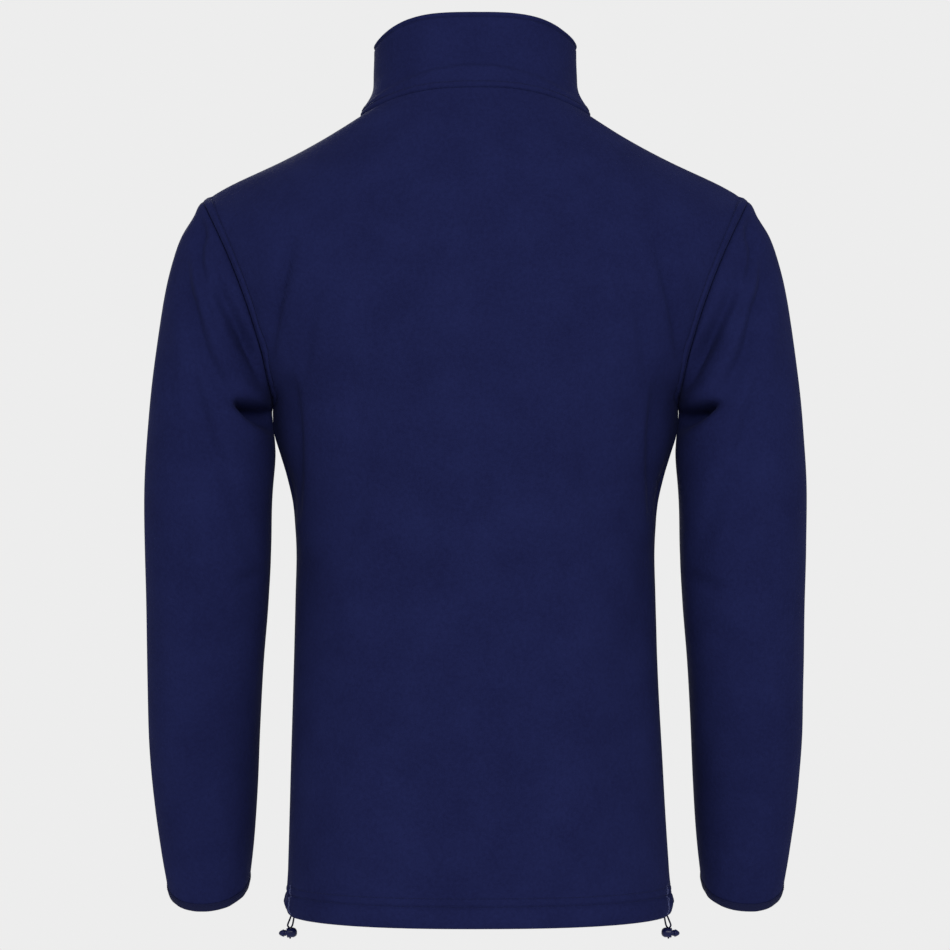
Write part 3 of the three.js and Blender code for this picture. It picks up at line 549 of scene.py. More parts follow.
def edge_fullness(distance: Array, reach: float = 0.8) -> Array:
    """How full a layer of cloth is near an edge, so that the edge comes out round."""
    t = 1 - np.clip(distance / reach, 0, 1)
    return np.maximum(np.sqrt(1 - t * t), 0.06)


def seam_dip(distance: Array) -> Array:
    """How far a panel rolls in towards the seam at its edge."""
    return -0.6 * bump(distance, 1.5)


def felled(distance: Array, width: float, rise: float = 0.8, groove: float = 0.9) -> Array:
    """The raised band of a topstitched seam: the turned cloth lies under it, up to the stitches."""
    band = rise * step(0.6, 2.2, distance) * (1 - step(width - 1.2, width + 0.6, distance))
    return band - groove * bump(distance - width, 0.75)


def welded(objects: Sequence[Object], name: str) -> Object:
    """Joins several objects into one."""
    bpy.ops.object.select_all(action="DESELECT")
    for one in objects:
        one.select_set(True)
    bpy.context.view_layer.objects.active = objects[0]
    bpy.ops.object.join()
    objects[0].name = name
    objects[0].data.name = name
    return objects[0]


def rounded_box(
    low: Sequence[float], high: Sequence[float], radius: float, place: Array, finish: Material,
) -> Object:
    """A box with round edges between two corners, put in its place.

    Args:
        low: lowest corner in its own frame.
        high: highest corner in its own frame.
        radius: radius of the edges.
        place: 4 by 4 matrix from its own frame to the jacket's, both in millimetres.
        finish: its material.

    Returns:
        The box.
    """
    centre, half = (np.add(low, high) / 2), (np.subtract(high, low) / 2)
    side = 7
    t = np.linspace(-1, 1, side)
    points, faces = [], []
    for axis in range(3):
        for sign in (-1, 1):
            u, v = np.meshgrid(t, t, indexing="ij")
            cube = np.empty((side, side, 3))
            cube[..., axis], cube[..., (axis + 1) % 3], cube[..., (axis + 2) % 3] = sign, u, v
            core = half - radius
            stretched = np.sign(cube) * np.minimum(np.abs(cube) ** 0.6 * half, half)
            flat = np.clip(stretched, -core, core)
            away = stretched - flat
            made = grid_faces(side, side, False, False, len(points) * side * side)
            faces.append(made if sign > 0 else made[:, ::-1])
            points.append((flat + unit(away) * radius).reshape(-1, 3) + centre)
    all_points = np.concatenate(points)
    moved = all_points @ place[:3, :3].T + place[:3, 3]
    box = mesh_object("part", moved, np.concatenate(faces).tolist(), finish)
    merge_doubles(box)
    return box


def merge_doubles(made: Object) -> None:
    """Merges points that lie on each other and turns the faces outwards."""

    work = bmesh.new()
    work.from_mesh(made.data)
    bmesh.ops.remove_doubles(work, verts=work.verts, dist=1e-6)
    bmesh.ops.recalc_face_normals(work, faces=work.faces)
    work.to_mesh(made.data)
    work.free()


def turned(name: str, profile: Array, sides: int, place: Array, finish: Material) -> Object:
    """A turned piece about its own X axis.

    Args:
        name: its name.
        profile: points (x, radius), from pole to pole.
        sides: how many sides.
        place: 4 by 4 matrix to the jacket's frame, both in millimetres.
        finish: its material.

    Returns:
        The piece.
    """
    angles = np.linspace(0, 2 * math.pi, sides, endpoint=False)
    x, r = profile[:, :1], profile[:, 1:]
    grid = points_of(x, r * np.cos(angles), r * np.sin(angles)).reshape(-1, 3)
    moved = grid @ place[:3, :3].T + place[:3, 3]
    made = mesh_object(name, moved, grid_faces(len(profile), sides, False, True).tolist(), finish)
    merge_doubles(made)
    return made


def cut(made: Object, tool: Object) -> None:
    """Cuts one closed object out of another and removes it."""
    modifier = made.modifiers.new("cut", "BOOLEAN")
    modifier.object, modifier.operation, modifier.solver = tool, "DIFFERENCE", "EXACT"
    evaluated = made.evaluated_get(bpy.context.evaluated_depsgraph_get())
    result = bpy.data.meshes.new_from_object(evaluated)
    made.modifiers.clear()
    made.data = result
    bpy.data.objects.remove(tool)


def attach(made: Object, body: str, slot: str, *nodes: str) -> Object:
    """Makes a piece ride on a body and stand for CAD nodes.

    Args:
        made: the piece.
        body: the body's name.
        slot: not used.
        nodes: the nodes that it stands for.

    Returns:
        The piece.
    """
    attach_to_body(made, body)
    if nodes:
        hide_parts(*nodes)
    made.data.update()
    log.info("%s: %d faces on %s", made.name, len(made.data.polygons), body)
    return made


@dataclass(frozen=True)
class Cut:
    """The flat cut of a piece of cloth, in metres: its width, its length and its area."""

    width: float
    length: float
    area: float

    def declare(self, made: Object, shell: Shell | None = None) -> None:
        """Logs the area that the piece covers, where it is known."""
        if shell is not None:
            log.info("%s covers %.4f square metres", made.name, shell.area())


SHEETS = {
    "back": Cut(0.56, 0.74, 0.312),
    "front_left": Cut(0.30, 0.68, 0.151),
    "front_right": Cut(0.30, 0.68, 0.151),
    "sleeve": Cut(0.40, 0.62, 0.171),
    "cuff": Cut(0.22, 0.0172, 0.00378),
    "collar": Cut(0.50, 0.086, 0.0394),
}


# ---- Finishes ------------------------------------------------------------------------------------


@dataclass
class Nodes:
    """Builds a node tree."""

    tree: bpy.types.NodeTree

    def add(self, kind: str, inputs: dict | None = None, **settings: object) -> bpy.types.Node:
        """Adds a node.

        Args:
            kind: the node's type.
            inputs: values or output sockets for its inputs, by name or index.
            settings: its own settings.

        Returns:
            The node.
        """
        made = self.tree.nodes.new(kind)
        for name, value in settings.items():
            setattr(made, name, value)
        for key, value in (inputs or {}).items():
            if isinstance(value, bpy.types.NodeSocket):
                self.tree.links.new(value, made.inputs[key])
            else:
                made.inputs[key].default_value = value
        return made

    def math(self, operation: str, *values: object) -> bpy.types.NodeSocket:
        """The result of a new Math node."""
        return self.add("ShaderNodeMath", dict(enumerate(values)), operation=operation).outputs[0]


def surface(name: str) -> tuple[Material, Nodes, bpy.types.Node]:
    """A new material with a Principled shader, its tree and the shader."""
    made = bpy.data.materials.new(name)
    made.use_nodes = True
    made.node_tree.nodes.clear()
    nodes = Nodes(made.node_tree)
    shader = nodes.add("ShaderNodeBsdfPrincipled")
    nodes.add("ShaderNodeOutputMaterial", {"Surface": shader.outputs["BSDF"]})
    return made, nodes, shader


@dataclass(frozen=True)
class FleeceFinish:
    """Brushed anti-pill fleece: a matt, slightly mottled nap with a faint bloom at its edges."""

    light: tuple[float, float, float] = (0.0092, 0.0119, 0.0515)
    dark: tuple[float, float, float] = (0.0064, 0.0079, 0.0360)
    nap: float = 1150.0
    clumps: float = 330.0
    patches: float = 26.0

    def material(self) -> Material:
        """Builds the material."""
        made, nodes, shader = surface("fleece")
        place = nodes.add("ShaderNodeTexCoord").outputs["Object"]
        fine = nodes.add("ShaderNodeTexNoise", {"Vector": place, "Scale": self.nap, "Detail": 2.0})
        clump = nodes.add("ShaderNodeTexNoise", {"Vector": place, "Scale": self.clumps, "Detail": 3.0})
        patch = nodes.add("ShaderNodeTexNoise", {"Vector": place, "Scale": self.patches, "Detail": 2.0})
        grain = nodes.math("ADD", fine.outputs["Fac"], clump.outputs["Fac"])
        tone = nodes.math("ADD", grain, patch.outputs["Fac"])
        ramp = nodes.add("ShaderNodeMapRange", {
            "Value": tone, "From Min": 1.05, "From Max": 1.95, "To Min": 0.0, "To Max": 1.0,
        })
        colour = nodes.add("ShaderNodeMix", {
            "Factor": ramp.outputs[0], 6: (*self.dark, 1), 7: (*self.light, 1),
        }, data_type="RGBA")
        lumps = nodes.add("ShaderNodeBump", {
            "Height": clump.outputs["Fac"], "Strength": 0.35, "Distance": 0.0009,
        })
        hairs = nodes.add("ShaderNodeBump", {
            "Height": fine.outputs["Fac"], "Strength": 0.45, "Distance": 0.0005,
            "Normal": lumps.outputs["Normal"],
        })
        nodes.tree.links.new(colour.outputs[2], shader.inputs["Base Color"])
        nodes.tree.links.new(hairs.outputs["Normal"], shader.inputs["Normal"])
        shader.inputs["Roughness"].default_value = 0.95
        shader.inputs["Specular IOR Level"].default_value = 0.02
        shader.inputs["Sheen Weight"].default_value = 0.012
        shader.inputs["Sheen Roughness"].default_value = 0.4
        shader.inputs["Sheen Tint"].default_value = (0.45, 0.5, 0.95, 1)
        return made


@dataclass(frozen=True)
class WovenFinish:
    """Woven or knitted trim: close ribs across two directions."""

    name: str
    colour: tuple[float, float, float]
    ribs: float = 1500.0
    roughness: float = 0.8
    direction: str = "Z"

    def material(self) -> Material:
        """Builds the material."""
        made, nodes, shader = surface(self.name)
        place = nodes.add("ShaderNodeTexCoord").outputs["Object"]
        rib = nodes.add("ShaderNodeTexWave", {
            "Vector": place, "Scale": self.ribs / 6, "Distortion": 0.4, "Detail": 1.0,
        }, bands_direction=self.direction)
        grain = nodes.add("ShaderNodeTexNoise", {"Vector": place, "Scale": self.ribs, "Detail": 2.0})
        height = nodes.math("ADD", rib.outputs["Fac"], grain.outputs["Fac"])
        shade = nodes.add("ShaderNodeMix", {
            "Factor": grain.outputs["Fac"],
            6: (*(0.7 * c for c in self.colour), 1), 7: (*(1.25 * c for c in self.colour), 1),
        }, data_type="RGBA")
        relief = nodes.add("ShaderNodeBump", {
            "Height": height, "Strength": 0.5, "Distance": 0.0003,
        })
        nodes.tree.links.new(shade.outputs[2], shader.inputs["Base Color"])
        nodes.tree.links.new(relief.outputs["Normal"], shader.inputs["Normal"])
        shader.inputs["Roughness"].default_value = self.roughness
        shader.inputs["Specular IOR Level"].default_value = 0.08
        return made


@dataclass(frozen=True)
class BraidFinish:
    """Round braided elastic: two sets of strands that cross, drawn along the cord's own UV map, with painted
    shade in the grooves between the strands.
    """

    colour: tuple[float, float, float] = (0.0042, 0.0056, 0.025)
    strands: float = 5.0
    turns: float = 0.55

    def material(self) -> Material:
        """Builds the material."""
        made, nodes, shader = surface("elastic_cord")
        place = nodes.add("ShaderNodeUVMap", uv_map="UVMap").outputs["UV"]
        parts = nodes.add("ShaderNodeSeparateXYZ", {0: place})
        waves = []
        for sign in (1, -1):
            along = nodes.math("MULTIPLY", parts.outputs[1], sign * self.turns)
            turn = nodes.math("ADD", parts.outputs[0], along)
            angle = nodes.math("MULTIPLY", turn, 2 * math.pi * self.strands)
            waves.append(nodes.math("SINE", angle))
        height = nodes.math("MAXIMUM", *waves)
        # Painted shade: the base colour darkens towards the near-black of the low grooves between the
        # strands.
        shade = nodes.add("ShaderNodeMapRange", {
            "Value": height, "From Min": -1.0, "From Max": 1.0, "To Min": 0.45, "To Max": 1.3,
        })
        colour = nodes.add("ShaderNodeMix", {
            "Factor": shade.outputs[0], 6: (0.0015, 0.002, 0.009, 1), 7: (*self.colour, 1),
        }, data_type="RGBA")
        relief = nodes.add("ShaderNodeBump", {
            "Height": height, "Strength": 0.6, "Distance": 0.00015,
        })
        nodes.tree.links.new(colour.outputs[2], shader.inputs["Base Color"])
        nodes.tree.links.new(relief.outputs["Normal"], shader.inputs["Normal"])
        shader.inputs["Roughness"].default_value = 0.8
        shader.inputs["Specular IOR Level"].default_value = 0.02
        return made


@dataclass(frozen=True)
class HardFinish:
    """Moulded plastic or painted metal, with a fine unevenness and handling marks."""

    name: str
    colour: tuple[float, float, float]
    roughness: float
    metallic: float = 0.0
    gloss: float = 0.3

    def material(self) -> Material:
        """Builds the material."""
        made, nodes, shader = surface(self.name)
        place = nodes.add("ShaderNodeTexCoord").outputs["Object"]
        marks = nodes.add("ShaderNodeTexNoise", {"Vector": place, "Scale": 420.0, "Detail": 4.0})
        rough = nodes.add("ShaderNodeMapRange", {
            "Value": marks.outputs["Fac"], "To Min": self.roughness - 0.08, "To Max": self.roughness + 0.12,
        })
        shade = nodes.add("ShaderNodeMix", {
            "Factor": marks.outputs["Fac"],
            6: (*(0.8 * c for c in self.colour), 1), 7: (*(1.2 * c for c in self.colour), 1),
        }, data_type="RGBA")
        relief = nodes.add("ShaderNodeBump", {
            "Height": marks.outputs["Fac"], "Strength": 0.12, "Distance": 0.0002,
        })
        nodes.tree.links.new(shade.outputs[2], shader.inputs["Base Color"])
        nodes.tree.links.new(rough.outputs[0], shader.inputs["Roughness"])
        nodes.tree.links.new(relief.outputs["Normal"], shader.inputs["Normal"])
        shader.inputs["Metallic"].default_value = self.metallic
        shader.inputs["Specular IOR Level"].default_value = self.gloss
        return made


@dataclass
class Finishes:
    """Every finish of the jacket."""

    fleece: Material
    binding: Material
    thread: Material
    tack: Material
    tape: Material
    teeth: Material
    metal: Material
    cord: Material
    plastic: Material

    @classmethod
    def make(cls) -> "Finishes":
        """Makes the materials."""
        return cls(
            fleece=FleeceFinish().material(),
            binding=WovenFinish("binding", (0.0052, 0.0066, 0.030), ribs=2400.0).material(),
            thread=WovenFinish(
                "thread", (0.0082, 0.0108, 0.047), ribs=5200.0, roughness=0.7, direction="X",
            ).material(),
            # The bar tack thread is a much lighter copy of the plain thread: a painted highlight on the
            # raised tacks.
            tack=WovenFinish(
                "tack_thread", (0.068, 0.078, 0.19), ribs=5200.0, roughness=0.6, direction="X",
            ).material(),
            tape=WovenFinish("zip_tape", (0.0055, 0.007, 0.031), ribs=3400.0).material(),
            teeth=HardFinish("zip_teeth", (0.0065, 0.0085, 0.037), 0.42).material(),
            metal=HardFinish("zip_metal", (0.012, 0.014, 0.04), 0.34, metallic=0.6).material(),
            cord=BraidFinish().material(),
            plastic=HardFinish("lock_plastic", (0.0045, 0.006, 0.040), 0.24, gloss=0.14).material(),
        )


# ---- Rows of stitches and teeth ------------------------------------------------------------------


@dataclass
class Repeater:
    """A Geometry Nodes tree that sets one small shape along a line of points.

    Attributes:
        tree: the tree.
        keys: identifier of each input, by name.
    """

    tree: bpy.types.NodeTree
    keys: dict[str, str]

    @classmethod
    def new(cls, name: str, sizes: Sequence[str]) -> tuple["Repeater", Nodes, bpy.types.Node, bpy.types.Node]:
        """Starts a tree.

        Args:
            name: the tree's name.
            sizes: names of its size inputs.

        Returns:
            The repeater, its node builder, its input node and its output node.
        """
        tree = bpy.data.node_groups.new(name, "GeometryNodeTree")
        keys = {}
        tree.interface.new_socket("Geometry", in_out="INPUT", socket_type="NodeSocketGeometry")
        for size in sizes:
            socket = tree.interface.new_socket(size, in_out="INPUT", socket_type="NodeSocketFloat")
            keys[size] = socket.identifier
        for extra, kind in (("Seed", "NodeSocketInt"), ("Material", "NodeSocketMaterial")):
            keys[extra] = tree.interface.new_socket(extra, in_out="INPUT", socket_type=kind).identifier
        tree.interface.new_socket("Geometry", in_out="OUTPUT", socket_type="NodeSocketGeometry")
        nodes = Nodes(tree)
        return cls(tree, keys), nodes, nodes.add("NodeGroupInput"), nodes.add("NodeGroupOutput")

    def run(self, name: str, lines: Sequence[Array], values: dict[str, object]) -> Object:
        """Sets the shape along lines and returns the result as a plain mesh.

        Args:
            name: the object's name.
            lines: lines of points in millimetres.
            values: values of the inputs, by name.

        Returns:
            The object.
        """
        points = np.concatenate(lines)
        ends = np.cumsum([len(line) for line in lines])
        edges = [(i, i + 1) for i in range(len(points) - 1) if i + 1 not in ends]
        mesh = bpy.data.meshes.new(name)
        mesh.from_pydata((points * MM).tolist(), edges, [])
        made = bpy.data.objects.new(name, mesh)
        bpy.context.scene.collection.objects.link(made)
        modifier = made.modifiers.new("repeat", "NODES")
        modifier.node_group = self.tree
        for key, value in values.items():
            modifier[self.keys[key]] = value
        evaluated = made.evaluated_get(bpy.context.evaluated_depsgraph_get())
        result = bpy.data.meshes.new_from_object(evaluated)
        made.modifiers.clear()
        made.data = result
        result.name = name
        return made


LENGTH_SPREAD = {"Min": 0.86, "Max": 1.06}  # how far single stitches differ in length


def spots_along(nodes: Nodes, start: bpy.types.Node) -> bpy.types.Node:
    """Points along the line that a tree is given, one pitch apart."""
    line = nodes.add("GeometryNodeMeshToCurve", {0: start.outputs["Geometry"]})
    return nodes.add("GeometryNodeCurveToPoints", {
        "Curve": line.outputs[0], "Length": start.outputs["Pitch"],
    }, mode="LENGTH")


def dress(nodes: Nodes, start: bpy.types.Node, end: bpy.types.Node, copies: bpy.types.Node) -> None:
    """Ends a tree: makes its copies real and smooth, and gives them their material."""
    real = nodes.add("GeometryNodeRealizeInstances", {0: copies.outputs[0]})
    soft = nodes.add("GeometryNodeSetShadeSmooth", {0: real.outputs[0]})
    dressed = nodes.add("GeometryNodeSetMaterial", {
        "Geometry": soft.outputs[0], "Material": start.outputs["Material"],
    })
    nodes.tree.links.new(dressed.outputs[0], end.inputs[0])


def stitch_tree() -> Repeater:
    """Builds the tree that lays stitches end to end along a line."""
    made, nodes, start, end = Repeater.new("stitch_row", ("Pitch", "Length", "Thickness"))
    spots = spots_along(nodes, start)
    bead = nodes.add("GeometryNodeMeshUVSphere", {"Segments": 6, "Rings": 4, "Radius": 0.5})
    uneven = nodes.add("FunctionNodeRandomValue", {"Seed": start.outputs["Seed"]}, data_type="FLOAT")
    for socket in uneven.inputs:
        if socket.name in LENGTH_SPREAD and socket.type == "VALUE":
            socket.default_value = LENGTH_SPREAD[socket.name]
    share = next(socket for socket in uneven.outputs if socket.type == "VALUE")
    size = nodes.add("ShaderNodeCombineXYZ", {
        "X": nodes.math("MULTIPLY", start.outputs["Length"], share),
        "Y": start.outputs["Thickness"], "Z": start.outputs["Thickness"],
    })
    turn = nodes.add("FunctionNodeAlignRotationToVector", {"Vector": spots.outputs["Tangent"]}, axis="X")
    beads = nodes.add("GeometryNodeInstanceOnPoints", {
        "Points": spots.outputs["Points"], "Instance": bead.outputs["Mesh"],
        "Rotation": turn.outputs[0], "Scale": size.outputs[0],
    })
    dress(nodes, start, end, beads)
    return made


def tooth_tree() -> Repeater:
    """Builds the tree that sets moulded zip teeth along a line."""
    made, nodes, start, end = Repeater.new("tooth_row", ("Pitch", "Width", "Depth", "Height", "Lean"))
    spots = spots_along(nodes, start)
    parts = []
    for width, depth, height, aside in ((1.0, 1.0, 0.62, 0.0), (0.42, 0.86, 1.0, 0.32)):
        dims = [
            nodes.math("MULTIPLY", start.outputs[name], share)
            for name, share in (("Width", width), ("Depth", depth), ("Height", height))
        ]
        size = nodes.add("ShaderNodeCombineXYZ", dict(enumerate(dims)))
        block = nodes.add("GeometryNodeMeshCube", {"Size": size.outputs[0]})
        round_block = nodes.add("GeometryNodeSubdivisionSurface", {
            "Mesh": block.outputs["Mesh"], "Level": 1, "Edge Crease": 0.45,
        })
        move = nodes.add("ShaderNodeCombineXYZ", {"X": nodes.math("MULTIPLY", start.outputs["Lean"], aside)})
        placed = nodes.add("GeometryNodeTransform", {
            "Geometry": round_block.outputs[0], "Translation": move.outputs[0],
        })
        parts.append(placed.outputs[0])
    tooth = nodes.add("GeometryNodeJoinGeometry")
    for part in parts:
        nodes.tree.links.new(part, tooth.inputs[0])
    turn = nodes.add("FunctionNodeAlignRotationToVector", {
        "Vector": spots.outputs["Tangent"],
    }, axis="Z", pivot_axis="X")
    row = nodes.add("GeometryNodeInstanceOnPoints", {
        "Points": spots.outputs["Points"], "Instance": tooth.outputs[0], "Rotation": turn.outputs[0],
    })
    dress(nodes, start, end, row)
    return made


@dataclass
class Stitching:
    """Topstitches: their sizes, and the tree that lays them along lines from the cloth pieces."""

    tree: Repeater
    thread: Material
    pitch: float = 3.1
    length: float = 2.75
    thickness: float = 0.62

    def sew(self, name: str, lines: Sequence[Array], thread: Material | None = None) -> Object:
        """Lays rows of stitches along lines.

        Args:
            name: name of the rows.
            lines: lines of points in millimetres.
            thread: its material, where it isn't the plain thread.

        Returns:
            The stitches, riding with the cloth.
        """
        made = self.tree.run(name, lines, {
            "Pitch": self.pitch * MM, "Length": self.length * MM, "Thickness": self.thickness * MM,
            "Seed": len(name), "Material": thread or self.thread,
        })
        return attach(made, "root", "fleece")


def crossing_line(grid: Array, normals: Array, field: Array, level: float, lift: float = 0.1) -> Array:
    """The line where a field over a grid first reaches a level, going along each row from its end.

    Args:
        grid: points of the grid.
        normals: its normals.
        field: the field at each point, small at the end of the rows.
        level: the level to find.
        lift: how far to lift the line off the surface.

    Returns:
        One point for each row that reaches the level from below it.
    """
    found = []
    for points, ways, values in zip(grid, normals, field):
        over = np.nonzero(values >= level)[0]
        if not len(over) or over[-1] == len(values) - 1:
            continue
        i = over[-1]
        t = (level - values[i]) / (values[i + 1] - values[i])
        found.append(mix(points[i], points[i + 1], t) + lift * ways[i])
    return np.array(found)


# ---- The body: back and fronts -------------------------------------------------------------------

EDGE_STEPS = np.array([
    0, 0.25, 0.6, 1.1, 1.8, 2.7, 3.8, 5.0, 6.0, 6.8, 7.4, 7.8, 8.2, 8.6, 9.2, 10.2, 11.8, 14, 16.6,
])
ZIP_STEPS = np.array([0, 0.25, 0.6, 1.1, 1.8, 2.8, 4.0, 5.0, 5.6, 6.0, 6.4, 7.0, 8.2, 10])
NECK_STEPS = np.array([0, 0.25, 0.6, 1.1, 1.8, 2.6, 3.2, 3.7, 4.1, 4.6, 5.3, 6.5, 8.2]) / 130


@dataclass
class BodyPanel:
    """One half of the back, or one front: its grid and the distances that dress its seams.

    Attributes:
        face: the back or the front.
        hand: the wearer's left or right.
        folds: its creases, as on the wearer's left.
        middle: columns of cloth between the finely divided edges.
        seed: a fixed seed for its soft swells.
    """

    face: Face
    hand: Hand
    folds: Sequence[Fold]
    middle: int
    seed: int

    topstitch: float = 8.0  # from the armhole to its stitches
    beside_sleeve: float = 0.7  # how far the side swells to meet the sleeve
    zip_stitch: float = 6.0
    hem_stitches: tuple[float, float] = (18.2, 24.6)
    corner: float = 5.2  # how far the hem is cut up at the side seam, where the cord comes out
    corner_reach: float = 34.0

    def __post_init__(self) -> None:
        """Works out the grid."""
        self.stations = self.rows_of_cloth()
        rows = body_rows(self.stations, self.face, self.hand)
        self.lengths = rows.lengths[:, -1]
        self.slant = self.row_slant(rows)
        shares = self.shares(rows)
        self.side = (1 - shares) * self.lengths[:, None] / self.slant[:, None]
        self.grid = self.softened(rows.at(shares))
        self.base_normals = grid_normals(self.grid) * -self.face.value
        self.from_zip = (shares - shares[:, :1]) * self.lengths[:, None]
        self.from_neck = np.broadcast_to(self.stations[:, None] * 130, shares.shape)
        self.above_hem = self.grid[..., 2] - HEM_Z
        angles = self.face.value * np.linspace(0, 180, 260)
        self.from_armhole = distance_to(sleeve_points(0.0, angles), self.grid)
        self.relieve()

    def rows_of_cloth(self) -> Array:
        """The stations of the rows, closest at the neck seam and over the hem's stitches."""
        side = HEM_Z - UNDER_Z
        band = 2 + (side + 33) / side
        last = 2 + (side + HEM_FOLD) / side
        return np.concatenate([
            NECK_STEPS, np.linspace(NECK_STEPS[-1], 1, 38)[1:], np.linspace(1, 2, 60)[1:],
            np.linspace(2, band, 128)[1:], np.linspace(band, last, 27)[1:],
        ])

    def softened(self, grid: Array, rounds: int = 70) -> Array:
        """Evens out the creases of the form along the rows that meet a corner of its outline."""
        near = bump(self.stations - 1, 0.16) + bump(self.stations - 2, 0.13)
        weight = (0.5 * np.minimum(near, 1)[:, None] * step(0.5, 22, self.side))[1:-1, :, None]
        for _ in range(rounds):
            grid[1:-1] += weight * ((grid[:-2] + grid[2:]) / 2 - grid[1:-1])
        return grid

    def row_slant(self, rows: Rows) -> Array:
        """How much longer than the distance to the seam at its end each row's own distance is."""
        across = unit(rows.dense[:, -1] - rows.dense[:, -14])
        seam = unit(np.gradient(rows.dense[:, -1], self.stations, axis=0))
        sine = np.linalg.norm(np.cross(across, seam), axis=-1)
        slant = np.clip(1 / np.maximum(sine, 0.3), 1, 2.4)
        kernel = np.ones(7) / 7
        return np.convolve(np.pad(slant, 3, mode="edge"), kernel, mode="valid")

    def shares(self, rows: Rows) -> Array:
        """The share of each row's length at each column."""
        out = []
        for r, length in enumerate(self.lengths):
            edge = 1 - EDGE_STEPS[::-1] * self.slant[r] / length
            start = np.array([0.0])
            if self.face is Face.FRONT:
                x = rows.dense[r, :, 0]
                first = np.interp(FRONT_EDGE, x, rows.lengths[r]) / length
                start = first + ZIP_STEPS / length
            out.append(np.concatenate([start, np.linspace(start[-1], edge[0], self.middle + 2)[1:-1], edge]))
        return np.array(out)

    def relieve(self) -> None:
        """Raises the creases, the felled seams and the hem's channel on the grid."""
        x, z = self.grid[..., 0], self.grid[..., 2]
        near_seam = step(0, 10, self.side)
        armhole_rows = (step(0.97, 1.0, self.stations) * (1 - step(1.99, 2.03, self.stations)))[:, None]
        height = fold_heights(self.folds, x, z) * mix(1, near_seam, 1 - 0.35 * armhole_rows)
        height += 0.45 * undulation(x, z, 85, self.seed) * near_seam
        beside = (1 - step(0, 12, self.side)) * bump(z - UNDER_Z + 16, 20)
        height += self.beside_sleeve * beside
        height += felled(self.from_armhole, self.topstitch, rise=1.1, groove=1.1)
        height += seam_dip(self.side)
        height += 0.6 * seam_dip(self.from_neck)
        low, high = self.hem_stitches
        channel = step(2, 7, self.above_hem) * (1 - step(low - 3, low, self.above_hem))
        height += 0.9 * channel
        height += 0.35 * step(low, low + 2, self.above_hem) * (1 - step(high - 2, high, self.above_hem))
        height -= 0.9 * bump(self.above_hem - low, 1.1) + 0.25 * bump(self.above_hem - high, 0.9)
        height += 0.8 * bump(self.above_hem - 9, 5.5)
        outlet = 27 + 1.5 * np.sin(self.above_hem / 5) - 0.25 * self.above_hem
        height += (1.5 * bump(self.side - outlet, 1.6) - 0.9 * bump(self.side - outlet - 4, 2.2)) * (
            1 - step(24, 34, self.above_hem))
        gather = bump(self.side, 26) * (1 - step(20, 40, self.above_hem))
        pucker = undulation(self.side, 0.15 * self.above_hem, 7.5, self.seed + 5)
        height += 1.7 * gather * pucker * step(0.5, 4, self.side)
        height += 0.3 * undulation(self.side, 0.3 * z, 14, self.seed + 6) * (1 - step(12, 26, self.above_hem))
        if self.face is Face.FRONT:
            height += felled(self.from_zip, self.zip_stitch, rise=0.3, groove=0.6)
            height += 0.5 * undulation(z, 0.2 * x, 34, self.seed + 7) * (1 - step(9, 30, self.from_zip))
        self.height = height

    def spots(self) -> tuple[Array, Array, Array]:
        """The panel with its hem turned up.

        Returns:
            Outside points, normals and fullness.
        """
        outside = self.grid + self.base_normals * self.height[..., None]
        normals = self.base_normals
        edge = np.minimum(self.side, self.from_neck)
        if self.face is Face.FRONT:
            edge = np.minimum(edge, self.from_zip)
        level = unit(normals[-1] * np.array([1, 1, 0]))
        centre = outside[-1] - HEM_FOLD * level
        rows, ways = [], []
        for degrees in np.linspace(22.5, 180, 8):
            way = level * math.cos(math.radians(degrees)) - np.array([0, 0, math.sin(math.radians(degrees))])
            rows.append(centre + HEM_FOLD * way)
            ways.append(way)
        for rise in np.array([4, 8, 12, 16, 19, 20.4, HEM_TURN_UP - HEM_FOLD]):
            rows.append(rows[7] + np.array([0, 0, rise]))
            ways.append(ways[7])
        edges = np.concatenate([edge, np.repeat(edge[-1:], len(rows), axis=0)])
        outside = np.concatenate([outside, rows])
        normals = np.concatenate([normals, ways])
        edges[-1] = 0
        edges[-2] = np.minimum(edges[-2], 0.8)
        side = np.concatenate([self.side, np.repeat(self.side[-1:], len(rows), axis=0)])
        low = 1 - step(0, 16, outside[..., 2] - HEM_Z)
        outside[..., 2] += self.corner * (1 - step(0, self.corner_reach, side)) * low
        across = unit(outside[:, -2] - outside[:, -1])
        outside[:, -1] -= across * SEAM_OVERLAP
        outside[..., 0] *= self.hand.value
        normals[..., 0] *= self.hand.value
        return outside, normals, edge_fullness(edges)

    def stitch_lines(self) -> list[Array]:
        """The lines of the panel's topstitches."""
        outside = self.grid + self.base_normals * self.height[..., None]
        lines = [crossing_line(outside, self.base_normals, self.from_armhole, self.topstitch)]
        for level in self.hem_stitches:
            row = int(np.argmin(np.abs(self.above_hem[:, len(self.above_hem[0]) // 2] - level)))
            lines.append(outside[row] + 0.1 * self.base_normals[row])
        if self.face is Face.FRONT:
            column = int(np.argmin(np.abs(ZIP_STEPS - self.zip_stitch)))
            lines.append(outside[:, column] + 0.1 * self.base_normals[:, column])
        for line in lines:
            line[:, 0] *= self.hand.value
        return lines


    def tack_lines(self) -> list[Array]:
        """Short zigzags of bar tack at the cord's outlet, up the end of the hem and along its top."""
        outside = self.grid + self.base_normals * self.height[..., None]
        rows = np.nonzero((self.above_hem[:, -1] > 3) & (self.above_hem[:, -1] < 27))[0]
        lines = []
        for at, swing in ((34.0, 0.9), (37.5, 1.2)):
            line = []
            for i, row in enumerate(rows):
                place = at + swing * (-1) ** i - 0.25 * self.above_hem[row, -1]
                column = np.interp(-place, -self.side[row], np.arange(outside.shape[1]))
                c, t = int(column), column % 1
                line.append(mix(outside[row, c], outside[row, c + 1], t) + 0.25 * self.base_normals[row, c])
            lines.append(smooth_line(np.array(line), 60) * np.array([self.hand.value, 1, 1]))
        return lines


